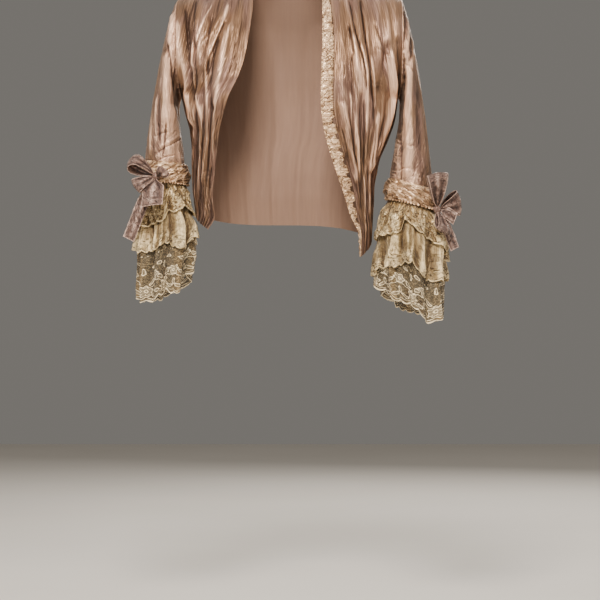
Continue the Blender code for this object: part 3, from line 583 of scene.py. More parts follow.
def makeLowerLace(name):
    s = Shade(name)
    repeat = lowerMotifs["repeat"]
    net, lumps = netOf(s, 2.1, 0.46), s.pattern(0.30, 0.30, 2.0, 0.6)
    bendAcross, bendAlong = (
        (s.pattern(0.09, 0.09, seed) - 0.5) * bend
        for seed, bend in zip((0.0, 5.0), lowerMotifs["bend"])
    )
    s.across, s.along = s.across + bendAcross, s.along + bendAlong
    motif = stem(s, repeat, 11.5, 28.0, 5.0, 0.75).most(stem(s, 23.0, 0.0, 5.4, 1.0, 0.6))
    for at, height, radius, petals in lowerMotifs["flowers"]:
        motif = motif.most(flower(s, repeat, at, height, radius, petals))
    for at, height, turn, size in lowerMotifs["leaves"]:
        width = size * lowerMotifs["leafWidth"]
        motif = motif.most(leaf(s, repeat, at, height, turn, size, width))
    dots = s.distance(s.across.within(9.0), s.along.within(11.0)).under(0.7, 1.1)
    dots = dots * s.along.over(66.0, 72.0)
    threads = hemCord(s, 1.7).most(motif).most(dots)
    tones = laceFinish["sheer"], laceFinish["body"], laceFinish["deep"]
    # painted light and shade of the folds, from the fold attribute
    colour = s.toned(s.attribute("fold"), tones, (0.0, 1.0, 0.6), (0.0, 1.0, 0.5))
    colour = s.mixed(lumps.over(0.50, 0.62) * 0.26, colour, laceFinish["thread"])
    border = s.along.under(9.0, 13.0)
    solid = 0.24 + border * 0.2 + net * 0.30 + lumps.over(0.45, 0.6) * 0.2
    return s.finish(
        Base_Color=s.mixed(threads, colour, laceFinish["scroll"]), Roughness=0.6,
        Alpha=solid.most(threads), Sheen_Weight=0.15,
        Normal=s.bump(threads + net * 0.3 + lumps * 0.5, 0.0008, 0.8),
    )


def makeRibbon(name):  # along is the distance from the ribbon's nearest edge
    s = Shade(name)
    crushed = s.pattern(0.07, 0.10, 0.0, 0.5, 0.8)
    second = s.pattern(0.11, 0.13, 5.0, 0.5, 0.6)
    crease, glint = second.lines(0.022), second.lines(0.03, 0.56)
    stitch = abs(s.along - 3.0).under(0.3, 0.6) * s.across.apart(2.6).over(0.3, 0.6)
    # lift paints light and shade: the fold shade, painted shade in creases and a painted glint of
    # highlight
    lift = s.attribute("fold") * 0.8 + (crushed - 0.5) * 0.4 - crease * 0.9 + glint * 0.6
    tones = ribbonFinish["body"], ribbonFinish["light"], ribbonFinish["shadow"]
    colour = s.toned(lift, tones, (-0.1, 0.9, 1.0), (0.0, 0.8, 0.85))
    colour = s.mixed(s.along.under(0.7, 1.3) * 0.7, colour, ribbonFinish["light"])  # selvedge
    colour = s.mixed(stitch * 0.7, colour, ribbonFinish["shadow"])
    ribs = s.maths("SINE", s.across * 6.0)
    relief = crushed * 2.0 - crease * 1.1 + glint * 0.5 + ribs * 0.02 - stitch * 0.3
    return s.finish(
        Base_Color=colour, Roughness=0.40 + crushed * 0.1, Metallic=0.15,
        Normal=s.bump(relief, 0.0017, 0.9), Sheen_Weight=0.15, Sheen_Roughness=0.4,
        Sheen_Tint=(1.0, 0.9, 0.88, 1.0),
    )


roseSilk = makeSilk("rose silk", silkFinish)
backSilk = makeSilk("rose silk back", backFinish)
sleeveSilk = makeSilk("rose silk sleeve", sleeveFinish)
bandShirring = makeShirred("shirred gold silk", bandFinish)
cuffShirring = makeShirred("shirred cuff silk", cuffFinish)
laceFinishes = {
    "upper": makeUpperLace("crinkled gold lace"), "middle": makeMiddleLace("pleated net lace"),
    "lower": makeLowerLace("embroidered sheer lace"),
}
mauveRibbon = makeRibbon("mauve ribbon")
print("finishes ready")

# The panels' outlines. Level is 0 at the hem and 1 at the shoulder seam.
frontTurn = math.radians(70)
underarmLevel = 0.56
neckPoint = (66.0, 12.0, 22.0)
shoulderX, shoulderY, shoulderDrop = 194.0, 6.0, 40.0
panelLength = 440.0
frontColumns = "level outerX outerY outerZ edgeX edgeY edgeZ rounding"

rightFront = tableOf(
    frontColumns,
    (0.00, -165, 8, -396, -141, -70, -427, 1.0),
    (0.06, -168, 8, -372, -129, -75, -405, 1.0),
    (0.14, -171, 8, -345, -133, -74, -372, 1.0),
    (0.22, -171, 8, -315, -130, -80, -338, 1.0),
    (0.32, -172, 8, -280, -126, -90, -300, 1.0),
    (0.42, -176, 8, -249, -121, -101, -262, 1.0),
    (0.50, -185, 8, -216, -112, -108, -226, 1.0),
    (0.56, -190, 8, -193, -104, -111, -200, 1.0),
    (0.64, -193, -24, -176, -90, -111, -172, 0.9),
    (0.72, -196, -46, -146, -79, -103, -140, 0.7),
    (0.80, -199, -54, -108, -72, -92, -105, 0.5),
    (0.87, -199, -50, -70, -67, -76, -70, 0.4),
    (0.93, -198, -34, -40, -64, -52, -34, 0.25),
    (0.97, -196, -14, -24, -64, -22, -2, 0.1),
    (1.00, -194, 6, -18, -66, 12, 22, 0.0),
)
leftFront = tableOf(
    frontColumns,
    (0.00, 143, 8, -440, 123, -68, -474, 1.0),
    (0.06, 144, 8, -412, 124, -70, -437, 1.0),
    (0.14, 146, 8, -378, 117, -74, -405, 1.0),
    (0.22, 148, 8, -345, 111, -79, -364, 1.0),
    (0.32, 156, 8, -306, 100, -88, -322, 1.0),
    (0.42, 172, 8, -268, 88, -99, -283, 1.0),
    (0.50, 185, 8, -228, 79, -107, -246, 1.0),
    (0.56, 190, 8, -193, 75, -111, -215, 1.0),
    (0.64, 193, -24, -176, 75, -112, -178, 0.9),
    (0.72, 194, -46, -146, 76, -105, -144, 0.7),
    (0.80, 195, -54, -108, 77, -93, -106, 0.5),
    (0.87, 195, -50, -70, 75, -76, -70, 0.4),
    (0.93, 195, -34, -40, 71, -52, -34, 0.25),
    (0.97, 194.5, -14, -24, 68, -22, -2, 0.1),
    (1.00, 194, 6, -18, 66, 12, 22, 0.0),
)
backRows = tableOf(
    "level armholeX armholeY armholeZ centreY centreZ",
    (0.00, 0, 0, 0, 99, -414),
    (0.06, 0, 0, 0, 96, -386),
    (0.14, 0, 0, 0, 93, -356),
    (0.22, 0, 0, 0, 93, -326),
    (0.32, 0, 0, 0, 97, -290),
    (0.42, 0, 0, 0, 104, -257),
    (0.50, 0, 0, 0, 110, -221),
    (0.56, 0, 0, 0, 113, -196),
    (0.64, 191, 40, -176, 114, -172),
    (0.72, 190, 60, -146, 112, -140),
    (0.80, 188, 66, -108, 107, -104),
    (0.87, 189, 60, -70, 98, -70),
    (0.93, 191, 42, -40, 85, -38),
    (0.97, 193, 22, -24, 75, -14),
    (1.00, 194, 6, -18, 68, 3),
)

# Soft pleats. Across is 0 at a panel's outer edge and 1 at its front edge.
pleatColumns = "atShoulder atBust atWaist halfWidth shoulder bust underarm waist hem"
rightPleats = tableOf(
    pleatColumns,
    (0.12, 0.15, 0.27, 10.0, 1.0, 8.0, 2.5, 3.0, 1.0),
    (0.35, 0.38, 0.46, 5.0, 3.0, 5.0, 5.5, 4.0, 2.0),
    (0.55, 0.48, 0.56, 4.5, 3.5, 4.0, 3.5, 3.5, 2.5),
    (0.78, 0.58, 0.66, 5.5, 4.5, 6.5, 6.0, 4.5, 2.5),
    (0.95, 0.77, 0.77, 10.0, 1.5, 6.0, 4.5, 3.0, 2.0),
    (0.99, 0.93, 0.90, 5.0, 0.0, 2.0, 3.5, 3.0, 1.5),
)
leftPleats = tableOf(
    pleatColumns,
    (0.10, 0.15, 0.22, 9.0, 0.5, 6.0, 2.5, 3.0, 1.0),
    (0.27, 0.32, 0.37, 7.0, 1.0, 6.5, 5.5, 4.0, 2.0),
    (0.41, 0.48, 0.52, 8.0, 1.0, 4.0, 4.5, 4.0, 2.5),
    (0.57, 0.62, 0.63, 4.5, 1.0, 3.0, 4.5, 4.0, 2.5),
    (0.70, 0.71, 0.71, 4.5, 3.5, 5.0, 5.5, 3.5, 2.0),
    (0.82, 0.79, 0.80, 4.5, 3.0, 4.5, 5.0, 3.5, 1.5),
    (0.94, 0.91, 0.90, 6.0, 1.0, 2.5, 3.0, 2.0, 1.0),
)
backPleats = tableOf(
    pleatColumns,
    (0.12, 0.14, 0.17, 9.0, 0.0, 3.0, 2.5, 3.0, 2.0),
    (0.22, 0.25, 0.29, 8.0, 0.0, 2.0, 3.5, 4.0, 2.5),
    (0.34, 0.35, 0.37, 10.0, 0.0, 3.5, 2.5, 3.5, 2.5),
    (0.44, 0.46, 0.46, 7.0, 0.0, 1.5, 3.0, 4.5, 3.0),
    (0.57, 0.55, 0.55, 8.0, 0.0, 2.5, 3.5, 4.0, 3.0),
    (0.67, 0.66, 0.63, 10.0, 0.0, 3.5, 2.0, 3.5, 2.5),
    (0.79, 0.76, 0.73, 7.0, 0.0, 2.0, 3.5, 4.0, 2.5),
    (0.88, 0.86, 0.83, 9.0, 0.0, 3.0, 2.5, 3.0, 2.0),
)
waistLevel, bustLevel = 0.28, 0.78
pleatLevels = (0.0, waistLevel, 0.54, bustLevel, 1.0)  # the third is the underarm

# Folds given one by one, by the place where the camera sees them.
rightFolds = (  # half width, height and path as height up and place across
    (7.4, 6, ((-60, -197.1), (-91, -193.6), (-118, -188.3),
     (-144, -183), (-176, -177.8), (-204, -172.5), (-236, -167.2))),
    (2.3, 1.1, ((-100, -191.8), (-127, -186.6), (-158, -181.3), (-188, -176), (-215, -170.7))),
    (2.1, 1.8, ((-193, -184.8), (-211, -177.8), (-225, -172.5), (-246, -165.4))),
    (2.5, -2.2, ((-208, -188.3), (-229, -181.3), (-253, -174.2))),
    (3.0, -2.6, ((-109, -202.4), (-134, -198.9), (-162, -193.6), (-188, -188.3), (-211, -184.8))),
    (5.6, -4.6, ((-39, -183), (-83, -179.5), (-118, -176),
     (-148, -172.5), (-176, -169), (-201, -167.2))),
    (2.3, 2.4, ((-102, -169), (-130, -170.7), (-158, -167.2),
     (-179, -163.7), (-204, -158.4), (-229, -153.1))),
    (1.8, -2.4, ((-123, -163.7), (-153, -163.7), (-183, -163.7), (-215, -161.9), (-250, -160.2))),
    (1.9, -2, ((-25, -165.4), (-56, -167.2), (-83, -167.2), (-109, -165.4))),
    (6.7, 4.2, ((-28, -147.8), (-60, -154.9), (-88, -158.4), (-113, -156.6), (-141, -154.9))),
    (1.6, 1.3, ((-35, -137.3), (-56, -149.6), (-81, -160.2), (-95, -163.7))),
    (1.6, 1.3, ((-60, -142.6), (-79, -147.8), (-95, -154.9), (-113, -161.9))),
    (1.6, 1.1, ((-83, -142.6), (-97, -151.4), (-111, -158.4))),
    (3.0, 3.8, ((-35, -107.4), (-63, -117.9), (-88, -128.5), (-109, -137.3), (-130, -142.6))),
    (2.1, -2.8, ((-60, -114.4), (-88, -126.7), (-109, -135.5), (-130, -142.6), (-151, -146.1))),
    (2.3, 2.4, ((-134, -146.1), (-158, -147.8), (-186, -144.3), (-215, -142.6),
     (-246, -144.3), (-278, -146.1), (-310, -149.6), (-341, -151.4))),
    (5.3, -3, ((-53, -137.3), (-91, -144.3), (-123, -149.6), (-162, -151.4))),
    (10.6, 5.5, ((-67, -105.6), (-100, -112.6), (-127, -117.9),
     (-153, -121.4), (-179, -126.7), (-208, -130.2))),
    (1.8, 1.1, ((-120, -110.9), (-151, -119.7), (-176, -125), (-204, -130.2))),
    (6.0, -4, ((-91, -126.7), (-123, -133.8), (-153, -137.3), (-183, -137.3), (-215, -135.5))),
    (2.3, 2.2, ((-204, -153.1), (-243, -153.1), (-285, -154.9),
     (-324, -158.4), (-366, -160.2), (-405, -161.9))),
    (2.6, 2.8, ((-201, -128.5), (-232, -132), (-260, -133.8), (-289, -133.8), (-317, -132))),
    (2.1, -1.9, ((-197, -137.3), (-241, -139), (-285, -140.8), (-317, -142.6))),
    (2.1, -2, ((-246, -160.2), (-285, -161.9), (-329, -161.9), (-369, -160.2), (-408, -158.4))),
    (1.9, -1.9, ((-204, -149.6), (-250, -149.6), (-289, -153.1), (-331, -154.9), (-377, -156.6))),
    (2.1, 1.9, ((-345, -144.3), (-373, -146.1), (-405, -147.8))),
    (1.9, 1.6, ((-352, -139), (-380, -140.8), (-412, -142.6))),
    (3.2, 2.4, ((-250, -165.4), (-285, -167.2), (-320, -169), (-355, -167.2), (-387, -163.7))),
)
rightFrontCreases = (  # half height, height and path as place across and height up
    (1.4, -0.9, ((-149.6, -323), (-144.6, -320), (-137.8, -322))),
    (1.4, -1.1, ((-147.6, -333), (-142.6, -329), (-134.8, -332))),
    (1.4, -0.8, ((-149.6, -339), (-143.6, -338), (-139.8, -340))),
    (1.6, -1.3, ((-145.1, -348), (-139, -351), (-134.8, -355))),
)
leftFolds = (  # half width, height and path as height up and place across
    (2.5, -3, ((-67, 103.8), (-91, 107.4), (-116, 110.9))),
    (1.6, -1.6, ((-123, 107.4), (-162, 109.1), (-197, 109.1), (-236, 112.6))),
    (2.3, -3.8, ((-28, 105.6), (-60, 110.9), (-84, 116.2),
     (-109, 123.2), (-130, 128.5), (-151, 132), (-176, 133.8))),
    (5.3, 3.6, ((-84, 109.1), (-116, 114.4), (-137, 117.9), (-158, 121.4), (-183, 123.2))),
    (1.8, 2.4, ((-105, 125), (-130, 132), (-155, 135.5), (-183, 135.5),
     (-215, 133.8), (-245, 132))),
    (2.1, -3.4, ((-21, 123.2), (-49, 126.7), (-77, 130.2), (-102, 133.8),
     (-123, 137.3), (-148, 140.8), (-176, 142.6), (-204, 144.3), (-232, 144.3))),
    (2.1, 1.9, ((-123, 142.6), (-151, 146.1), (-179, 147.8), (-211, 147.8))),
    (22.9, 3, ((-14, 158.4), (-56, 161.9), (-88, 165.4), (-113, 169))),
    (2.8, -2.2, ((-67, 149.6), (-88, 156.6), (-107, 161.9))),
    (8.1, -4.6, ((-98, 170.7), (-116, 167.2), (-134, 163.7), (-155, 160.2), (-183, 156.6))),
    (6.2, 6.8, ((-113, 174.2), (-144, 177.8), (-169, 179.5), (-193, 177.8), (-215, 174.2),
     (-236, 169), (-257, 161.9), (-278, 153.1), (-296, 146.1), (-320, 139))),
    (5.3, -4.8, ((-91, 186.6), (-123, 188.3), (-148, 190.1), (-176, 190.1), (-204, 186.6),
     (-225, 183), (-250, 176), (-271, 169), (-296, 158.4), (-320, 149.6))),
    (2.8, 3, ((-218, 188.3), (-246, 181.3), (-271, 174.2), (-289, 165.4),
     (-306, 156.6), (-327, 149.6))),
    (2.1, 2.3, ((-186, 105.6), (-218, 110.9), (-246, 114.4), (-274, 116.2))),
    (2.3, 2.3, ((-264, 117.9), (-296, 119.7), (-324, 119.7))),
    (1.8, -2.2, ((-211, 121.4), (-250, 123.2), (-294, 123.2), (-338, 123.2), (-385, 123.2))),
    (2.3, 2.4, ((-179, 133.8), (-215, 135.5), (-243, 133.8), (-271, 132), (-303, 130.2))),
    (1.8, -2, ((-201, 128.5), (-250, 128.5), (-299, 128.5))),
    (3.2, 3, ((-222, 153.1), (-250, 149.6), (-271, 146.1), (-292, 142.6), (-317, 139))),
    (2.8, -2.8, ((-225, 165.4), (-257, 156.6), (-278, 151.4), (-303, 144.3))),
    (1.9, 1.7, ((-313, 130.2), (-355, 130.2), (-394, 130.2), (-426, 132))),
    (1.9, 1.7, ((-310, 137.3), (-355, 137.3), (-401, 137.3))),
    (1.6, -1.7, ((-313, 133.8), (-373, 133.8), (-422, 133.8))),
    (1.6, -1.6, ((-317, 142.6), (-364, 142.6), (-412, 142.6))),
    (4.6, 3.8, ((-204, 91.5), (-236, 98.6), (-260, 102.1), (-281, 105.6),
     (-306, 110.9), (-338, 116.2))),
    (1.8, -2.3, ((-215, 103.8), (-250, 107.4), (-281, 110.9), (-315, 116.2))),
)
leftFrontCreases = (  # half height, height and path as place across and height up
    (1.8, -0.6, ((144.3, -169), (154.9, -167), (165.4, -171))),
    (1.8, -0.5, ((146.1, -176), (156.6, -174), (167.2, -176))),
    (3.5, -1.2, ((152, -107), (163.4, -113), (176, -121))),
)


def frontForm(rows):
    outer, edge = trackOf(rows, "outerX outerY outerZ"), trackOf(rows, "edgeX edgeY edgeZ")
    rounding = trackOf(rows, "rounding")

    def form(across, level):
        a, b, turn = outer.at(level), edge.at(level), across * frontTurn
        wrapped = np.stack([
            a[:, 0] + (b - a)[:, 0] * (1 - np.cos(turn)) / (1 - math.cos(frontTurn)),
            a[:, 1] + (b - a)[:, 1] * np.sin(turn) / math.sin(frontTurn),
            a[:, 2] + (b - a)[:, 2] * across,
        ], -1)
        straight = a + (b - a) * across[:, None]
        return straight + (wrapped - straight) * rounding.at(level)[:, None]

    return form


def armholeBack(front, side):  # the back's outer edge: the side seam, then its own armhole
    high = front["level"] > underarmLevel
    return [
        np.where(high, scale * backRows["armhole" + axis], front["outer" + axis])
        for axis, scale in (("X", side), ("Y", 1), ("Z", 1))
    ]


def topOfBack(x):  # the shoulder seams, and the neck edge between them
    neckX, neckY, neckZ = neckPoint
    beyond = np.abs(x) >= neckX
    t, q = (np.abs(x) - neckX) / (shoulderX - neckX), np.minimum(np.abs(x) / neckX, 1)
    centreY, centreZ = backRows["centreY"][-1], backRows["centreZ"][-1]
    seam = np.stack([x, neckY + (shoulderY - neckY) * t, neckZ - shoulderDrop * t], -1)
    neck = np.stack([
        x, centreY + (neckY - centreY) * q**2.4, centreZ + (neckZ - centreZ) * q**2,
    ], -1)
    return np.where(beyond[:, None], seam, neck)


softSteps = (-0.12, -0.08, -0.04, 0.0, 0.04, 0.08, 0.12)


def backForm():
    right, left = (
        Track(backRows["level"], *armholeBack(front, side))
        for front, side in ((rightFront, -1), (leftFront, 1))
    )
    centre = trackOf(backRows, "centreY centreZ")

    def form(across, level):
        a, b, middle = right.at(level), left.at(level), centre.at(level)
        bulge = np.sin(across * math.pi)
        inside = (ease(bulge * 2.5) / len(softSteps))[:, None]  # away from the seams
        for track, edge in ((right, a), (left, b)):
            near = sum(track.at(np.clip(level + step, 0, 1)) - edge for step in softSteps)
            edge[:, 1:2] += (near * inside)[:, 1:2]
        side = a + (b - a) * ((1 - np.cos(across * math.pi)) / 2)[:, None]
        body = np.stack([
            side[:, 0],
            side[:, 1] + (middle[:, 0] - side[:, 1]) * bulge**0.85,
            side[:, 2] + (middle[:, 1] - side[:, 2]) * bulge**1.5,
        ], -1)
        return body + (topOfBack(side[:, 0]) - body) * ease((level - 0.90) / 0.10)[:, None]

    return form


def pleatHeight(pleats, across, level, rowLength):
    total = np.zeros(len(across))
    high = ease((level - bustLevel) / (1 - bustLevel))
    low = ease((level - waistLevel) / (bustLevel - waistLevel))
    for atShoulder, atBust, atWaist, halfWidth, *stands in zip(*pleats.values()):
        above = atBust + (atShoulder - atBust) * high
        centre = np.where(level > bustLevel, above, atWaist + (atBust - atWaist) * low)
        width = halfWidth * (0.55 + 0.45 * ease(level / 0.5))
        away = (across - centre) * rowLength / width
        total += Track(pleatLevels, stands[::-1]).at(level) * np.exp(-away * away)
    return total


edgePuff = {"across": 0.80, "level": 0.205, "radius": 11.0, "height": 3.6}


def puffHeight(across, level, rowLength):  # the gathered puff by the right front edge
    beside, above = across - edgePuff["across"], level - edgePuff["level"]
    away = np.hypot(beside * rowLength, above * panelLength) / edgePuff["radius"]
    return edgePuff["height"] * np.exp(-away * away)


panelFolds = {
    "tuckHeight": 1.7, "tuckShade": 0.55, "flatten": 0.4, "drawn": (0.34, 0.26),
    "strays": (26, 110), "fine": (6.5, 120), "small": (3.4, 60), "fineHeight": 0.55,
    "smallHeight": 0.35, "fineShade": 0.16, "handShade": 0.7, "topFade": 26, "swell": 24,
}


def panelSkin(form, piece):
    levels = np.linspace(0, 1, 21)
    lengths = Track(levels, rowLengths(form, levels))
    chest = 1.05 * float(lengths.at(0.75))
    seed, crushed, look = piece["seed"], piece["crushed"], panelFolds

    def placed(across, level):
        rowLength = lengths.at(level)
        plain = form(across, level)
        out = slope(form, across, level, piece["outwards"])
        height = pleatHeight(piece["pleats"], across, level, rowLength)
        if piece["puffed"]:
            height += puffHeight(across, level, rowLength)
        u, v = (across - 0.5) * rowLength, level * panelLength
        cut = np.stack([(across - 0.5) * chest, v], -1)  # pleats draw the cut together
        narrow = 1 - piece["pinch"] * (1 - ease(level / 0.5))  # creases meet at the waist
        drawn = 1 - ease((level - look["drawn"][0]) / look["drawn"][1])
        strays = grain(u / narrow, v, *look["strays"], seed + 2.1)
        strays += 0.5 * grain(u, v, 60, 70, seed + 7.7)
        tucks = np.abs(np.sin(math.pi * (piece["tucks"] * across + strays))) ** 0.7
        tucks = (tucks - 0.7) * drawn * crushed
        fine = crests(u / narrow, v, *look["fine"], seed, 5.0) - 0.4
        small = crests(u / narrow, v, *look["small"], seed + 5.3, 3.0) - 0.4
        hand, handShade = foldsOn(plain, *piece["folds"])
        seen = seenShare(out)
        shade = (height - height.mean()) / look["swell"] * (1 - 0.3 * drawn)
        shade += look["handShade"] * handShade * seen + look["tuckShade"] * tucks
        shade += look["fineShade"] * (fine + small) * crushed
        # painted shade: darker all over, and more below the bust
        shade -= piece["dusk"][0] + piece["dusk"][1] * ease((0.62 - level) / 0.3)
        height = height * (1 - look["flatten"] * drawn) + look["tuckHeight"] * tucks
        height += hand * seen * (1 - 0.3 * drawn)
        height += (look["fineHeight"] * fine + look["smallHeight"] * small) * crushed
        outer, front = piece["fades"]
        edge = ease(across * rowLength / outer) * ease((1 - across) * rowLength / front)
        edge *= ease((1 - level) * panelLength / look["topFade"])
        return plain + out * (height * edge)[:, None], cut, np.clip(shade, -1, 1) * edge

    return placed


# Painted shade darkens a panel: all over, and below the bust. Crushed is how strong its creases
# are.
frontPanel = {
    "finish": roseSilk, "wall": 1.2, "columns": 156, "rows": 250, "span": (0.0006, 1.0),
    "fades": (9, 8), "tucks": 12, "pinch": 0.4, "puffed": False,
}
panels = {
    "frontRight": {
        **frontPanel, "node": "front_right", "form": frontForm(rightFront), "outwards": 1,
        "pleats": rightPleats, "folds": (rightFolds, rightFrontCreases), "puffed": True,
        "seed": 1.0, "crushed": 1.0, "dusk": (0.16, 0.26), "flat": (0.24, 0.47),
    },
    "frontLeft": {
        **frontPanel, "node": "front_left", "form": frontForm(leftFront), "outwards": -1,
        "pleats": leftPleats, "folds": (leftFolds, leftFrontCreases), "seed": 4.0,
        "crushed": 0.7, "dusk": (-0.06, 0.28), "flat": (0.24, 0.50),
    },
    "backPanel": {
        **frontPanel, "node": "back", "form": backForm(), "outwards": -1, "finish": backSilk,
        "pleats": backPleats, "folds": ((), ()), "seed": 8.0, "crushed": 0.4,
        "dusk": (0.0, 0.0), "flat": (0.47, 0.44), "columns": 170, "rows": 180,
        "span": (0.0003, 0.9997), "fades": (9, 9), "tucks": 30, "pinch": 0.08,
    },
}
for title, piece in panels.items():
    skin = panelSkin(piece["form"], piece)
    made = sewn(
        title, skin, piece, piece["finish"], piece["node"],
        inward=piece["outwards"] < 0,
    )
print("panels ready")

frontBand = {
    "widths": tableOf(
        "level width",
        (0.00, 3.0), (0.06, 6.0), (0.14, 13.0), (0.22, 20.0), (0.32, 23.5), (0.42, 23.5),
        (0.56, 22.0), (0.80, 21.0), (0.90, 17.0), (0.98, 9.0),
    ),
    "top": 0.98, "gap": 0.4, "slots": (0.125, 0.505, 8), "slotLength": 9.0, "slotDepth": 4.6,
    "tilt": (-0.5, 0.10, 0), "belly": 1.1, "gather": 1.3, "frill": 1.2, "sink": 1.5,
    "columns": 18, "rows": 420, "wall": 1.0, "flat": (0.026, 0.5),
}


def frontBandSkin():  # the shirred strip along the left front edge, with its row of slots
    edge, width = trackOf(leftFront, "edgeX edgeY edgeZ"), trackOf(frontBand["widths"], "width")
    form = frontForm(leftFront)
    slots = np.linspace(*frontBand["slots"])

    def placed(across, share):
        level = share * frontBand["top"]
        seam = edge.at(level)
        inwards = seam - form(np.full(len(level), 0.97), level)
        inwards[:, 2] = 0
        for tilt in ((0, 0, 0), frontBand["tilt"]):  # a unit length, before and after it
            inwards += np.array(tilt)
            inwards /= np.linalg.norm(inwards, axis=1)[:, None]
        outwards = np.stack([-inwards[:, 1], inwards[:, 0], np.zeros(len(level))], -1)
        outwards *= np.where(outwards[:, 1] > 0, -1, 1)[:, None]
        nearest = np.abs(level[:, None] - slots).min(1) * panelLength
        slot = frontBand["slotDepth"] * ease((frontBand["slotLength"] / 2 - nearest) / 2.0 + 0.5)
        start = frontBand["gap"] + slot
        reach = start + (width.at(level) - start) * across
        v = level * panelLength
        gathers = crests(v, across * 22, 2.6, 30, 3.3) - 0.35  # across the strip
        gathers += 0.6 * (crests(v + across * 9, across * 22, 4.2, 16, 9.1) - 0.4)
        frill = ease((across - 0.82) / 0.18) * np.sin(v * 0.9 + 1.5 * np.sin(v * 0.13))
        belly = np.sin(math.pi * np.clip(across, 0, 1)) ** 0.6
        height = (frontBand["belly"] + frontBand["gather"] * gathers) * belly
        height += frontBand["frill"] * frill - frontBand["sink"] * ease(1 - across / 0.12)
        points = seam + inwards * reach[:, None] + outwards * height[:, None]
        cut = np.stack([across * 24, v * 1.3], -1)
        # painted light and shade of the gathers, and painted shade along the seam
        return points, cut, np.clip(gathers * 0.8 + 0.2 - ease(1 - across / 0.1), -1, 1)

    return placed


made = sewn(
    "frontBand", frontBandSkin(), frontBand, bandShirring, "front_band"
)
print("front band ready")

sleeveEnd = {
    "right": {"x": -220, "y": -2, "z": -328, "halfWidth": 35, "halfDepth": 47, "lean": -3},
    "left": {"x": 213, "y": -2, "z": -366, "halfWidth": 39, "halfDepth": 49, "lean": 11},
}
sleeve = {
    "armhole": (0.56, 0.60, 0.645, 0.69, 0.74, 0.79, 0.845, 0.90, 0.945, 0.975, 1.0),
    "leaveUnder": (42.0, 0.0, -24.0), "leaveShoulder": (64.0, 0.0, -96.0), "bulge": 34.0,
    "arriveUnder": 82.0, "arriveShoulder": 150.0, "standOff": 0.5, "underStandOff": 0.6,
    "folds": 5, "foldHeight": 1.6, "columns": 170, "rows": 150, "wall": 1.2,
    "radius": 55, "length": 300, "cut": (340, 320), "seed": {"right": 2.0, "left": 6.0},
    "flat": {"right": (0.42, 0.34, 0.066), "left": (0.44, 0.38, 0.078)},
}
# The left sleeve's puckered seam: its path as height up and place across.
puckers = {
    "path": ((-335, 183), (-285, 188), (-200, 194), (-127, 196), (-39, 192)),
    "half": 8.0, "height": 1.8, "wide": 15, "long": 5.5, "paintedShade": 0.14,
}
rightSleeveFolds = (  # half width, height and path as height up and place across
    (5.3, 3.4, ((-46, -205.9), (-77, -209.4), (-102, -211.2), (-123, -209.4), (-148, -205.9))),
    (2.3, -3.6, ((-98, -214.7), (-120, -211.2), (-141, -209.4),
     (-162, -205.9), (-183, -202.4), (-208, -200.6))),
    (7.7, 4, ((-116, -220), (-148, -220), (-176, -220), (-204, -218.2), (-236, -216.5))),
    (6.7, -5.4, ((-137, -200.6), (-169, -200.6), (-193, -198.9), (-218, -197.1))),
    (10.6, 3.6, ((-211, -207.7), (-246, -209.4), (-274, -211.2), (-303, -209.4))),
    (2.3, 1.7, ((-193, -234.1), (-232, -235.8), (-271, -234.1))),
    (2.1, -1.6, ((-190, -228.8), (-229, -230.6), (-267, -228.8))),
    (2.3, 1.5, ((-225, -242.9), (-264, -244.6), (-292, -246.4))),
    (1.9, -1.7, ((-239, -218.2), (-267, -220), (-296, -223.5))),
    (1.9, 1.5, ((-229, -197.1), (-257, -197.1), (-285, -197.1), (-310, -193.6))),
)
rightSleeveCreases = (  # half height, height and path as place across and height up
    (1.9, -2.4, ((-232.3, -289), (-218.2, -280), (-207.7, -274), (-193.6, -267))),
    (1.8, 1.6, ((-228.8, -280), (-214.7, -271), (-197.1, -260))),
    (1.9, -2, ((-232.3, -303), (-218.2, -297), (-204.2, -294))),
    (1.8, -1.6, ((-228.8, -116), (-218.2, -109), (-207.7, -100))),
    (2.1, -1.8, ((-235.8, -260), (-225.3, -255), (-214.7, -253))),
    (1.8, -1.6, ((-218.2, -267), (-209.4, -257), (-202.4, -250))),
)
leftSleeveFolds = (  # half width, height and path as height up and place across
    (3.9, -6.4, ((-105, 191.8), (-134, 195.4), (-158, 198.9),
     (-183, 200.6), (-208, 198.9), (-232, 195.4), (-257, 191.8))),
    (3.2, 3.2, ((-229, 188.3), (-253, 186.6), (-281, 184.8))),
    (6.0, 5, ((-113, 213), (-144, 211.2), (-169, 209.4), (-193, 207.7),
     (-218, 205.9), (-243, 207.7), (-271, 207.7), (-299, 205.9), (-331, 204.2))),
    (1.8, -2.6, ((-42, 200.6), (-67, 202.4), (-88, 200.6), (-109, 197.1))),
    (1.8, -2.6, ((-49, 209.4), (-77, 211.2), (-102, 213), (-127, 209.4))),
    (1.8, -2.2, ((-67, 218.2), (-91, 220), (-116, 218.2))),
    (2.6, 2.2, ((-53, 205.9), (-81, 207.7), (-109, 205.9))),
    (2.6, 2, ((-53, 214.7), (-84, 216.5), (-113, 214.7))),
    (1.8, -2, ((-264, 195.4), (-294, 197.1), (-320, 197.1), (-341, 195.4))),
    (3.5, 2.2, ((-281, 191.8), (-311, 190.1), (-334, 190.1))),
    (4.5, -1.2, ((-179, 223.5), (-232, 223.5), (-285, 221.8), (-324, 220))),
    (4.4, 1.4, ((-162, 234.1), (-215, 235.8), (-267, 235.8), (-320, 234.1))),
)
leftSleeveCreases = (  # half height, height and path as place across and height up
    (1.9, -2, ((190.1, -324), (200.6, -317), (211.2, -317))),
    (1.8, -1.6, ((198.9, -285), (207.7, -278), (218.2, -276))),
    (2.1, -2, ((200.6, -130), (207.7, -137), (214.7, -148))),
)
sleeveFolds = {
    "right": (rightSleeveFolds, rightSleeveCreases), "left": (leftSleeveFolds, leftSleeveCreases)
}


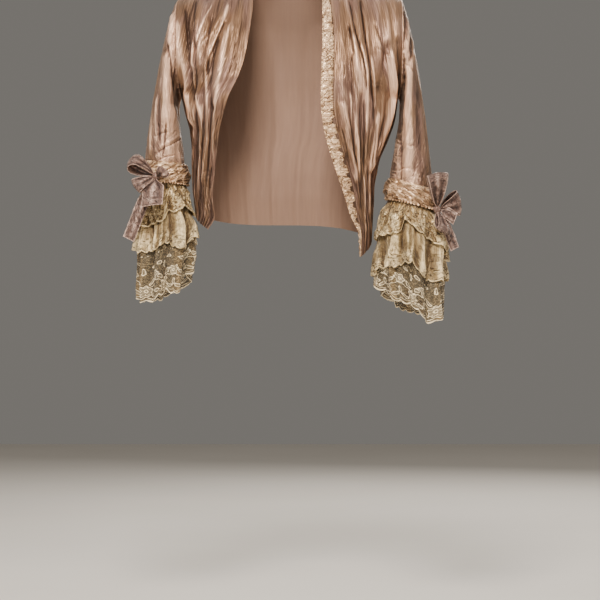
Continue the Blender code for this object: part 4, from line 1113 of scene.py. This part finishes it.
def armholeRim(name):
    front = rightFront if name == "right" else leftFront
    ahead = trackOf(front, "outerX outerY outerZ")
    behind = Track(front["level"], *armholeBack(front, sides[name]))
    levels = np.array(sleeve["armhole"])
    points = np.concatenate([ahead.at(levels), behind.at(levels[-2::-1])])
    steps = np.linalg.norm(np.diff(points, axis=0), axis=1)
    gone = np.concatenate([[0.0], np.cumsum(steps)]) / steps.sum()
    around = np.linspace(0, 1, len(points))
    return Track(around, *points.T), Track(around, gone)


def ringAway(side, angle):  # level direction from a sleeve's middle
    return np.stack([-side * np.cos(angle), -np.sin(angle), np.zeros(len(angle))], -1)


def cuffRing(end, side, angle, out, z):
    outer = -np.cos(angle)
    return np.stack([
        end["x"] + side * outer * (end["halfWidth"] + out),
        end["y"] - np.sin(angle) * (end["halfDepth"] + out), z - end["lean"] * outer,
    ], -1)


def sleeveForm(name):
    side, end = sides[name], sleeveEnd[name]
    rim, turn = armholeRim(name)
    under, over = np.array(sleeve["leaveUnder"]), np.array(sleeve["leaveShoulder"])
    longest = sleeve["arriveShoulder"] - sleeve["arriveUnder"]

    def form(around, level):
        angle = turn.at(around) * 2 * math.pi
        top = ((1 - np.cos(angle)) / 2)[:, None]
        leave = (under * (1 - top) + over * top) * np.array([side, 1, 1])
        leave[:, 1] -= sleeve["bulge"] * np.sin(angle)
        off = sleeve["standOff"] + sleeve["underStandOff"] * (1 - top) ** 2
        start = rim.at(around) + leave / np.linalg.norm(leave, axis=1)[:, None] * off
        fold = sleeve["foldHeight"] * np.sin(sleeve["folds"] * angle + 0.7)
        fold *= ease(level / 0.5) * (1 - ease((level - 0.7) / 0.15))
        arrive = np.zeros((len(level), 3))
        arrive[:, 2] = -(sleeve["arriveUnder"] + longest * top[:, 0])
        stop = cuffRing(end, side, angle, fold, end["z"])
        return curve(level[:, None], start, leave, stop, arrive)

    return form, turn


def sleeveSkin(name):
    side, seed = sides[name], sleeve["seed"][name]
    form, turn = sleeveForm(name)
    seam = Track(*zip(*puckers["path"]))
    seamLow, seamHigh = seam.knots[[0, -1]]

    def placed(around, level):
        plain = form(around, level)
        out = slope(form, around, level, -side)
        angle, w = turn.at(around) * 2 * math.pi, level * sleeve["length"]
        broad = ringGrain(angle, sleeve["radius"], w, 15, 75, seed)
        fine = ringGrain(angle, sleeve["radius"], w, 7, 34, seed * 2, (0.35, 0))
        crest, small = ridged(broad, 0.26) - 0.4, ridged(fine, 0.26) - 0.4
        hand, handShade = foldsOn(plain, *sleeveFolds[name])
        seen = seenShare(out)
        height = hand * seen + crest + 0.5 * small
        shade = 0.8 * handShade * seen + 0.2 * crest + 0.12 * small
        shade -= 0.5 * ease((side * out[:, 0] - 0.15) / 0.6) * seen  # painted shade on the outer side, turned from the light
        # painted shade where the sleeve faces away from the camera
        shade -= 0.3 * (1 - seen)
        if name == "left":
            seenX, seenZ = seenFrom(plain)
            centre = seam.at(np.clip(seenZ, seamLow, seamHigh))
            near = np.exp(-(((seenX - centre) / puckers["half"]) ** 2)) * seen
            dents = crests(seenX + 0.4 * seenZ, seenZ, puckers["wide"], puckers["long"], 12.5)
            dents = (dents - 0.4) * near
            height += puckers["height"] * dents
            # painted light and shade of the puckers, and painted shade over the left sleeve's
            # front
            shade += dents - puckers["paintedShade"] * seen
        edge = ease(w / 14) * ease((sleeve["length"] - w) / 16)
        cut = np.stack([around, level], -1) * sleeve["cut"]
        return plain + out * (height * edge)[:, None], cut, np.clip(shade, -1, 1) * edge

    return placed


for name, side in sides.items():
    title = "sleeve" + name.capitalize()
    made = sewn(
        title, sleeveSkin(name), sleeve, sleeveSilk, "sleeve_" + name, ring=True,
        inward=side < 0, wrongFirst=True,
    )
print("sleeves ready")

cuffBand = {
    "above": 20.0, "below": 17.0, "swell": 3.0, "puckers": 11, "pucker": 1.3,
    "offSleeve": 2.8, "offFlounce": 4.2, "radius": 50, "height": 38, "cut": (400, 44),
    "crest": 2.2, "small": 0.6, "frillFrom": 0.86, "frills": 46, "frill": 1.4,
    "columns": 300, "rows": 26, "wall": 0.9,
    "flat": {"right": (0.34, 0.042), "left": (0.36, 0.042)},
}


def cuffBandForm(name):
    side, end = sides[name], sleeveEnd[name]
    sleeveShape, turn = sleeveForm(name)

    def atHeight(around, z):  # the sleeve's own place at a height near its lower end
        low, high = np.full(len(z), 0.6), np.ones(len(z))
        for _ in range(18):
            level = (low + high) / 2
            above = sleeveShape(around, level)[:, 2] > z
            low, high = np.where(above, level, low), np.where(above, high, level)
        return sleeveShape(around, high)

    def form(around, level):
        angle = turn.at(around % 1) * 2 * math.pi
        rise = cuffBand["above"] - (cuffBand["above"] + cuffBand["below"]) * level
        off = cuffBand["offFlounce"] - cuffBand["offSleeve"]
        root = cuffBand["offSleeve"] + off * ease(level * 1.8)
        full = np.sin(math.pi * np.clip(level, 0, 1)) ** 0.7
        pucker = cuffBand["pucker"] * (1 + np.sin(cuffBand["puckers"] * angle + 4 * level))
        out = root + (cuffBand["swell"] + pucker) * full
        low = cuffRing(end, side, angle, out, end["z"] + rise)
        high = atHeight(around % 1, low[:, 2]) + ringAway(side, angle) * out[:, None]
        return np.where((rise <= 0)[:, None], low, high)

    return form, turn


def cuffBandSkin(name):
    side = sides[name]
    seed = 3.0 + side
    form, turn = cuffBandForm(name)

    def placed(around, share):
        level = 1 - share
        plain = form(around, level)
        angle, w = turn.at(around % 1) * 2 * math.pi, level * cuffBand["height"]
        wave = ringGrain(angle, cuffBand["radius"], w, 20, 6.5, seed, (0.35, 0))
        lines = ringGrain(angle, cuffBand["radius"], w, 12, 5.0, seed * 2, (0, -0.3))
        crest, small = ridged(wave, 0.24) - 0.4, ridged(lines, 0.24) - 0.4
        frill = ease((level - cuffBand["frillFrom"]) / (1 - cuffBand["frillFrom"]))
        twist = np.sin(angle * cuffBand["frills"] + 2 * np.sin(angle * 5))
        height = cuffBand["crest"] * crest + cuffBand["small"] * small
        height += frill * (cuffBand["frill"] * twist + 1.2)
        plain[:, 2] -= frill * twist
        shade = np.clip(crest + 0.5 * small, -1, 1) * (1 - frill) + frill * 0.6 * twist
        points = plain + ringAway(side, angle) * (height * ease(level / 0.08))[:, None]
        return points, np.stack([around, level], -1) * cuffBand["cut"], np.clip(shade, -1, 1)

    return placed


for name, side in sides.items():
    made = sewn(
        "cuffBand" + name.capitalize(), cuffBandSkin(name), cuffBand, cuffShirring,
        "cuff_band_" + name, ring=True, inward=side > 0,
    )
print("cuff bands ready")

flounceColumns = "drop shift halfWidth halfDepth wave calm"
flounceShape = {
    "right": tableOf(
        flounceColumns,
        (0, 0.0, 35.0, 47.0, 0.0, 0.2),
        (18, 0.0, 35.3, 47.5, 0.4, 0.2),
        (34, -1.5, 39.0, 54.0, 3.0, 0.2),
        (60, -1.0, 41.5, 57.0, 6.0, 0.2),
        (90, -4.0, 46.5, 60.0, 8.5, 1.0),
        (130, -2.5, 47.5, 63.0, 9.5, 1.0),
        (175, -0.5, 45.0, 64.0, 10.0, 1.0),
        (235, 1.0, 43.0, 63.0, 10.5, 1.0),
    ),
    "left": tableOf(
        flounceColumns,
        (0, 0.0, 39.0, 49.0, 0.0, 0.2),
        (18, 0.0, 39.3, 49.5, 0.4, 0.2),
        (34, -1.0, 49.0, 57.0, 3.0, 0.2),
        (60, 0.0, 56.0, 62.0, 6.0, 0.2),
        (85, 0.0, 58.5, 64.0, 8.0, 0.4),
        (105, -1.5, 59.0, 66.0, 8.5, 1.0),
        (130, -2.0, 58.5, 68.0, 9.5, 1.0),
        (175, 1.0, 54.0, 69.0, 10.0, 1.0),
        (235, 4.0, 50.0, 68.0, 10.5, 1.0),
    ),
}
flounceHem = {
    "right": tableOf(
        "around upper middle lower",
        (0.000, -403, -436, -493),
        (0.050, -392, -442, -507),
        (0.110, -384, -460, -526),
        (0.190, -396, -457, -537),
        (0.220, -394, -450, -531),
        (0.250, -410, -450, -537),
        (0.300, -415, -461, -546),
        (0.375, -422, -466, -552),
        (0.500, -422, -461, -547),
        (0.600, -414, -455, -541),
        (0.680, -421, -463, -550),
        (0.780, -409, -452, -536),
        (0.870, -413, -458, -530),
        (0.940, -399, -444, -510),
        (1.000, -403, -436, -493),
    ),
    "left": tableOf(
        "around upper middle lower",
        (0.000, -441, -507, -526),
        (0.060, -438, -494, -535),
        (0.125, -435, -489, -543),
        (0.180, -432, -491, -551),
        (0.215, -410, -484, -555),
        (0.250, -421, -484, -561),
        (0.300, -437, -509, -578),
        (0.350, -449, -516, -588),
        (0.400, -459, -516, -578),
        (0.500, -481, -510, -577),
        (0.600, -470, -519, -586),
        (0.700, -456, -507, -573),
        (0.800, -462, -513, -566),
        (0.900, -447, -500, -545),
        (1.000, -441, -507, -526),
    ),
}
flounces = {
    "upper": {
        "over": None, "standOff": 1.6, "spread": 0.0, "wave": 0.0, "count": 0, "phase": 0.0,
        "ruffle": 3.2, "run": 26, "scallops": 24, "scallop": 3.0, "curls": 15, "curl": 5.0,
        "columns": 240, "rows": 44, "wall": 0.6,
        "flat": {"right": (0.36, 0.085), "left": (0.42, 0.09)},
    },
    "middle": {
        "over": "upper", "standOff": -0.3, "spread": 1.5, "wave": 3.0, "count": 13,
        "phase": 0.35, "ruffle": 2.4, "run": 70, "scallops": 32, "scallop": 4.2, "curls": 20,
        "curl": 6.5, "columns": 240, "rows": 40, "wall": 0.6,
        "flat": {"right": (0.38, 0.13), "left": (0.42, 0.14)},
    },
    "lower": {
        "over": "middle", "standOff": -2.2, "spread": 3.0, "wave": 3.6, "count": 11,
        "phase": 0.10, "ruffle": 2.0, "run": 60, "scallops": 22, "scallop": 5.0, "curls": 12,
        "curl": 5.0, "columns": 260, "rows": 56, "wall": 0.6,
        "flat": {"right": (0.40, 0.21), "left": (0.42, 0.20)},
    },
}
rightLaceFolds = (  # half width, height and path as height up and place across
    (2.6, -4.4, ((-369, -211.2), (-412, -211.2), (-447, -211.2))),
    (7.0, 2.6, ((-355, -223.5), (-399, -223.5), (-436, -225.3))),
    (2.8, -2.6, ((-412, -242.9), (-436, -242.9), (-465, -242.9))),
    (2.8, -2.6, ((-408, -230.6), (-433, -232.3), (-457, -232.3))),
    (4.2, 2.2, ((-415, -237.6), (-440, -237.6), (-465, -237.6))),
    (4.6, 2.6, ((-366, -197.1), (-401, -195.4), (-443, -195.4))),
    (3.2, -3, ((-384, -181.3), (-412, -183), (-450, -186.6))),
    (5.3, 2.6, ((-454, -200.6), (-489, -198.9), (-528, -198.9))),
    (3.5, -2.6, ((-461, -218.2), (-500, -220), (-538, -221.8))),
)
leftLaceFolds = (  # half width, height and path as height up and place across
    (4.2, -4.6, ((-401, 198.9), (-429, 197.1), (-461, 193.6))),
    (2.6, -3.6, ((-422, 221.8), (-461, 221.8), (-500, 223.5))),
    (6.0, 3.4, ((-419, 232.3), (-465, 234.1), (-507, 235.8))),
    (3.0, -3.4, ((-443, 249.9), (-482, 251.7), (-517, 253.4))),
    (4.2, 2.6, ((-443, 262.2), (-482, 264), (-514, 264))),
    (5.3, 3, ((-419, 209.4), (-452, 209.4), (-482, 211.2))),
    (7.0, 3.4, ((-387, 165.4), (-419, 163.7), (-450, 161.9))),
    (5.3, 3, ((-398, 184.8), (-422, 184.8), (-447, 186.6))),
    (4.2, -3, ((-521, 230.6), (-549, 230.6), (-577, 230.6))),
    (5.3, 2.8, ((-524, 246.4), (-556, 246.4), (-588, 246.4))),
    (2.8, -2.6, ((-521, 260.5), (-549, 260.5), (-577, 260.5))),
)
laceFolds = {"right": rightLaceFolds, "left": leftLaceFolds}
sharedWaves = ((8, 0.60, 0.05), (5, 0.40, 0.40))  # count, share and phase
# Under is the drop at which a tier leaves the band, and ownWave how far it takes to gain the
# waves that it doesn't share.
laceRound = {"under": 18.0, "ownWave": 30.0, "radius": 60, "seamGap": 1.0}


def flounceSkin(name, tier):
    side, end, rows, hems = sides[name], sleeveEnd[name], flounceShape[name], flounceHem[name]
    shape = trackOf(rows, "shift halfWidth halfDepth", "drop")
    wave, calm = trackOf(rows, "wave", "drop"), trackOf(rows, "calm", "drop")
    hem = {key: trackOf(hems, key, "around") for key in flounces}
    top = end["z"] - laceRound["seamGap"]
    order = list(flounces)
    within = order[1 : order.index(tier) + 1]
    piece = flounces[tier]

    def placed(column, share):
        around, down = column % 1, 1 - share  # level 0 of the mesh is the hem
        angle = around * 2 * math.pi
        length = top - hem[tier].at(around)
        z = top - length * down
        drop = top - z
        shift, halfWidth, halfDepth = shape.at(drop).T
        inner, outer = np.maximum(0.0, np.cos(angle)), -np.cos(angle)
        shared = sum(
            part * np.sin(2 * math.pi * (count * around + phase))
            for count, part, phase in sharedWaves
        )
        own = wave.at(drop) * (1 - (1 - calm.at(drop)) * inner) * shared
        for key in within:  # nested tiers share their waves, so they never cross
            low = flounces[key]
            bare = ease((hem[low["over"]].at(around) - z) / laceRound["ownWave"])
            turn = 2 * math.pi * (low["count"] * around + low["phase"])
            own = own + low["wave"] * bare * np.sin(turn)
        own += piece["standOff"] - piece["spread"] * ease((drop - laceRound["under"]) / 30)
        seed = side + len(within)
        gather = ringGrain(angle, laceRound["radius"], drop, 8, piece["run"], seed)
        free = ease((down - 0.12) / 0.3)
        gather = ridged(gather, 0.26) * free
        if piece["over"]:
            free = free * ease((hem[piece["over"]].at(around) - z + 12) / 24)
        curl = np.sin(2 * math.pi * (piece["curls"] * around + 0.35 * np.sin(4 * angle + side)))
        curl = 0.5 + 0.5 * curl
        flare = ease((down - 0.70) / 0.30)
        own += piece["ruffle"] * gather * free + piece["curl"] * curl * flare  # outwards only
        z = z - end["lean"] * (1 - ease(drop / (top - hem["upper"].at(around)))) * outer
        acrossX, acrossY = side * outer, -np.sin(angle)
        middle = end["x"] + side * shift
        plain = np.stack([middle + acrossX * halfWidth, end["y"] + acrossY * halfDepth, z], -1)
        hand, handShade = foldsOn(plain, laceFolds[name])
        seen = ease(np.sin(angle) * 2.5) * ease(drop / 30)
        own += hand * seen
        scallop = np.abs(np.sin(math.pi * piece["scallops"] * around)) ** 0.8
        scallop = (scallop - 0.5) * piece["scallop"] * ease((down - 0.8) / 0.2)
        points = plain + np.stack([acrossX * own, acrossY * own, -scallop], -1)
        # the last column lies on the first, while the cloth's own place runs on
        unrolled = np.where(column >= 1, column, around) * 2 * math.pi * laceRound["radius"]
        shade = 0.7 * (gather - 0.4) * free + shared * wave.at(drop) / 12.0
        shade += 0.9 * handShade * seen + 0.9 * (curl - 0.5) * flare
        if not piece["over"]:  # painted shadow where the band covers its gathers
            shade -= 0.9 * (1 - ease((drop - 14) / 12))
        return points, np.stack([unrolled, length * share], -1), np.clip(shade, -1, 1)

    return placed


for name, side in sides.items():
    for tier, piece in flounces.items():
        made = sewn(
            "flounce" + tier.capitalize() + name.capitalize(), flounceSkin(name, tier), piece,
            laceFinishes[tier], f"flounce_{tier}_{name}", ring=True,
            inward=side < 0,
        )
print("flounces ready")

bows = {
    "right": {
        "around": 0.288, "level": 0.74, "face": math.radians(-16), "seat": 0.9,
        "loops": (  # name, direction as reach, out and up, length, width, depth and twist
            ("upper_loop", (-0.82, 0.36, 0.50), 54, 34, 38, 60),
            ("inner_loop", (0.74, 0.60, 0.30), 28, 25, 17, 40),
            ("lower_loop", (-0.80, 0.62, -0.50), 44, 28, 16, 10),
        ),
        "tails": (  # name, direction, length and width
            ("broad_tail", (0.08, 0.66, -0.76), 56, 39),
            ("long_tail", (-0.44, 0.14, -0.88), 104, 22),
        ),
    },
    "left": {
        "around": 0.395, "level": 0.97, "face": math.radians(36), "seat": 1.0,
        "loops": (
            ("upper_loop", (-0.34, 0.42, 0.90), 72, 38, 20, -26),
            ("outer_loop", (0.90, 0.30, 0.30), 46, 46, 22, 14),
            ("lower_loop", (-0.24, 0.66, -0.80), 54, 34, 16, -8),
        ),
        "tails": (
            ("broad_tail", (0.72, 0.84, -0.36), 34, 22),
            ("long_tail", (0.36, 0.34, -0.88), 66, 20),
        ),
    },
}
knot = {"halfWidth": 7.5, "halfDepth": 6.8, "halfHeight": 7.5, "columns": 28, "rows": 18}
ribbon = {"root": 7.4, "rootHalfWidth": 2.2, "rootHalfOpening": 1.4, "wall": 0.9}
loopMesh = {**ribbon, "columns": 22, "rows": 64, "cup": 2.4, "dent": 1.9, "ray": 1.5}
tailMesh = {**ribbon, "columns": 20, "rows": 44, "cup": 2.2, "dent": 1.4, "ray": 0.9}


def ribbonAxes(axes, direction, twist=0.0):
    along, away, upward = axes
    reach, out, up = direction
    ahead = (along * reach + away * out + upward * up).normalized()
    width = ahead.cross(away).normalized()
    facing = width.cross(ahead).normalized()
    turn = Quaternion(ahead, math.radians(twist))
    return np.array(ahead), np.array(turn @ width), np.array(turn @ facing)


def crush(points, seed, size):  # the creases of handled ribbon
    found = []
    for p in points:
        at = Vector(p) / size + Vector((seed, 0, 0))
        found.append(noise.noise(at) * 0.7 + 0.3 - 1.2 * abs(noise.noise(at * 1.3)))
    return np.array(found)


def loopForm(place, axes, row, seed):
    _, direction, length, width, depth, twist = row
    ahead, widthwise, facing = ribbonAxes(axes, direction, twist)
    root, rootHalf, rootOpening = (ribbon[k] for k in ("root", "rootHalfWidth", "rootHalfOpening"))

    def placed(across, level):
        turn = level * math.pi
        full, side = np.sin(turn), 2 * across - 1
        swell = np.maximum(full, 0)
        far = length - 0.10 * width * side * side
        goes = root + (far - root) * swell**0.75
        openBy = rootOpening + (depth / 2 - rootOpening) * swell**0.6
        half = rootHalf + (width / 2 - rootHalf) * swell**0.5
        cup = loopMesh["cup"] * (1 - side * side) * full
        points = (
            np.array(place) + np.outer(goes, ahead)
            + np.outer((openBy + cup) * np.cos(turn), facing) + np.outer(half * side, widthwise)
        )
        dent = crush(points, seed, 11.0)
        rays = np.sin(side * 6.5 + seed + 1.2 * dent) * (1 - 0.75 * full)
        lift = (loopMesh["dent"] * dent + loopMesh["ray"] * rays) * full**0.3
        points += np.outer(lift * np.sign(np.cos(turn) + 0.001), facing)
        cut = np.stack([level * length * 2.2, half * (1 - np.abs(side))], -1)
        # painted light and shade of the creases and rays, and painted shade near the knot
        return points, cut, np.clip(0.8 * dent + 0.9 * rays - 0.7 * (1 - full), -1, 1)

    return placed


def tailForm(place, axes, row, seed):
    _, direction, length, width = row
    ahead, widthwise, facing = ribbonAxes(axes, direction)
    root, rootHalf = ribbon["root"], ribbon["rootHalfWidth"]

    def placed(across, level):
        spread, side = ease(level * 2.2 + 0.02), 2 * across - 1
        half = rootHalf + (width / 2 - rootHalf) * spread
        wave = 3.0 * np.sin(level * 5.2) * level
        cup = tailMesh["cup"] * (1 - side * side) * (1 - 0.5 * level) * spread
        points = (
            np.array(place) + np.outer(root + (length - root) * level, ahead)
            + np.outer(wave + cup, facing) + np.outer(half * side, widthwise)
        )
        points[:, 2] -= 0.16 * length * level**2
        dent = crush(points, seed, 12.0)
        rays = np.sin(side * 5.5 + seed + dent) * (1 - 0.6 * level)
        lift = tailMesh["dent"] * dent + tailMesh["ray"] * rays
        points += np.outer(lift * spread, facing)
        toEdge = np.minimum(half * (1 - np.abs(side)), (1 - level) * length)
        cut = np.stack([level * length + half * side, toEdge], -1)
        # painted light and shade of the creases and rays, and painted shade near the knot
        return points, cut, np.clip(0.8 * dent + 0.8 * rays - 0.7 * (1 - spread), -1, 1)

    return placed


def makeKnot(title, node, place, axes):
    bm = bmesh.new()
    bm.loops.layers.uv.new("cut")
    bmesh.ops.create_uvsphere(
        bm, u_segments=knot["columns"], v_segments=knot["rows"], radius=1, calc_uvs=True
    )
    cutLayer = bm.loops.layers.uv["cut"]
    for face in bm.faces:
        for loop in face.loops:
            loop[cutLayer].uv = loop[cutLayer].uv * 0.03
    for vert in bm.verts:
        p = vert.co.copy()
        p *= 1 + 0.06 * math.sin(p.x * 9 + 2 * p.z) + 0.05 * noise.noise(p * 2.5)  # grooves
        local = axes[0] * (p.x * knot["halfWidth"]) - axes[1] * (p.y * knot["halfDepth"])
        vert.co = (place + local + axes[2] * (p.z * knot["halfHeight"])) * mm
    bmesh.ops.recalc_face_normals(bm, faces=bm.faces)
    addPiece(title, meshOf(title, bm), mauveRibbon, node)


def makeBow(name):
    side, bow, title = sides[name], bows[name], name.capitalize()
    along = Vector((math.cos(bow["face"]), math.sin(bow["face"]), 0))
    axes = along, Vector((along.y, -along.x, 0)), Vector((0, 0, 1))
    form, _ = cuffBandForm(name)
    seat = Vector(form(np.array([bow["around"]]), np.array([bow["level"]]))[0])
    place = seat + axes[1] * (0.6 + bow["seat"] + knot["halfDepth"])
    knotName = "bowKnot" + title
    makeKnot(knotName, "bow_knot_" + name, place, axes)
    for kind, shape, mesh, step in (
        ("loops", loopForm, loopMesh, 2.0), ("tails", tailForm, tailMesh, 5.0),
    ):
        for seed, row in enumerate(bow[kind]):
            words = "".join(word.capitalize() for word in row[0].split("_"))
            made = sewn(
                "bow" + words + title, shape(place, axes, row, seed + step * side), mesh,
                mauveRibbon, f"bow_{row[0]}_{name}",
            )
            length, width = row[2] * mm, row[3] * mm
            if kind == "loops":  # a loop's two ends are cut narrow, for the knot
                flat = width, length * 2
                area = 0.8 * flat[0] * flat[1]


for name in sides:
    makeBow(name)
print("bows ready")

floorPlan = {"half": 4.5, "level": -1.12, "pale": rgb(226, 220, 212), "dim": rgb(218, 212, 203)}
paper = Shade("pale floor")
drift = paper.pattern(0.002, 0.002)
paperLook = paper.finish(
    Base_Color=paper.mixed(drift, floorPlan["pale"], floorPlan["dim"]), Roughness=0.95
)
bm = bmesh.new()
floorLayer = bm.loops.layers.uv.new("cut")
bmesh.ops.create_grid(bm, x_segments=4, y_segments=4, size=floorPlan["half"], calc_uvs=True)
for face in bm.faces:
    for loop in face.loops:
        loop[floorLayer].uv = loop.vert.co.xy
for vert in bm.verts:
    vert.co.z = floorPlan["level"]
mesh = meshOf("floor", bm)
mesh.materials.append(paperLook)
studioFloor = bpy.data.objects.new("floor", mesh)
collection.objects.link(studioFloor)
print("floor ready")
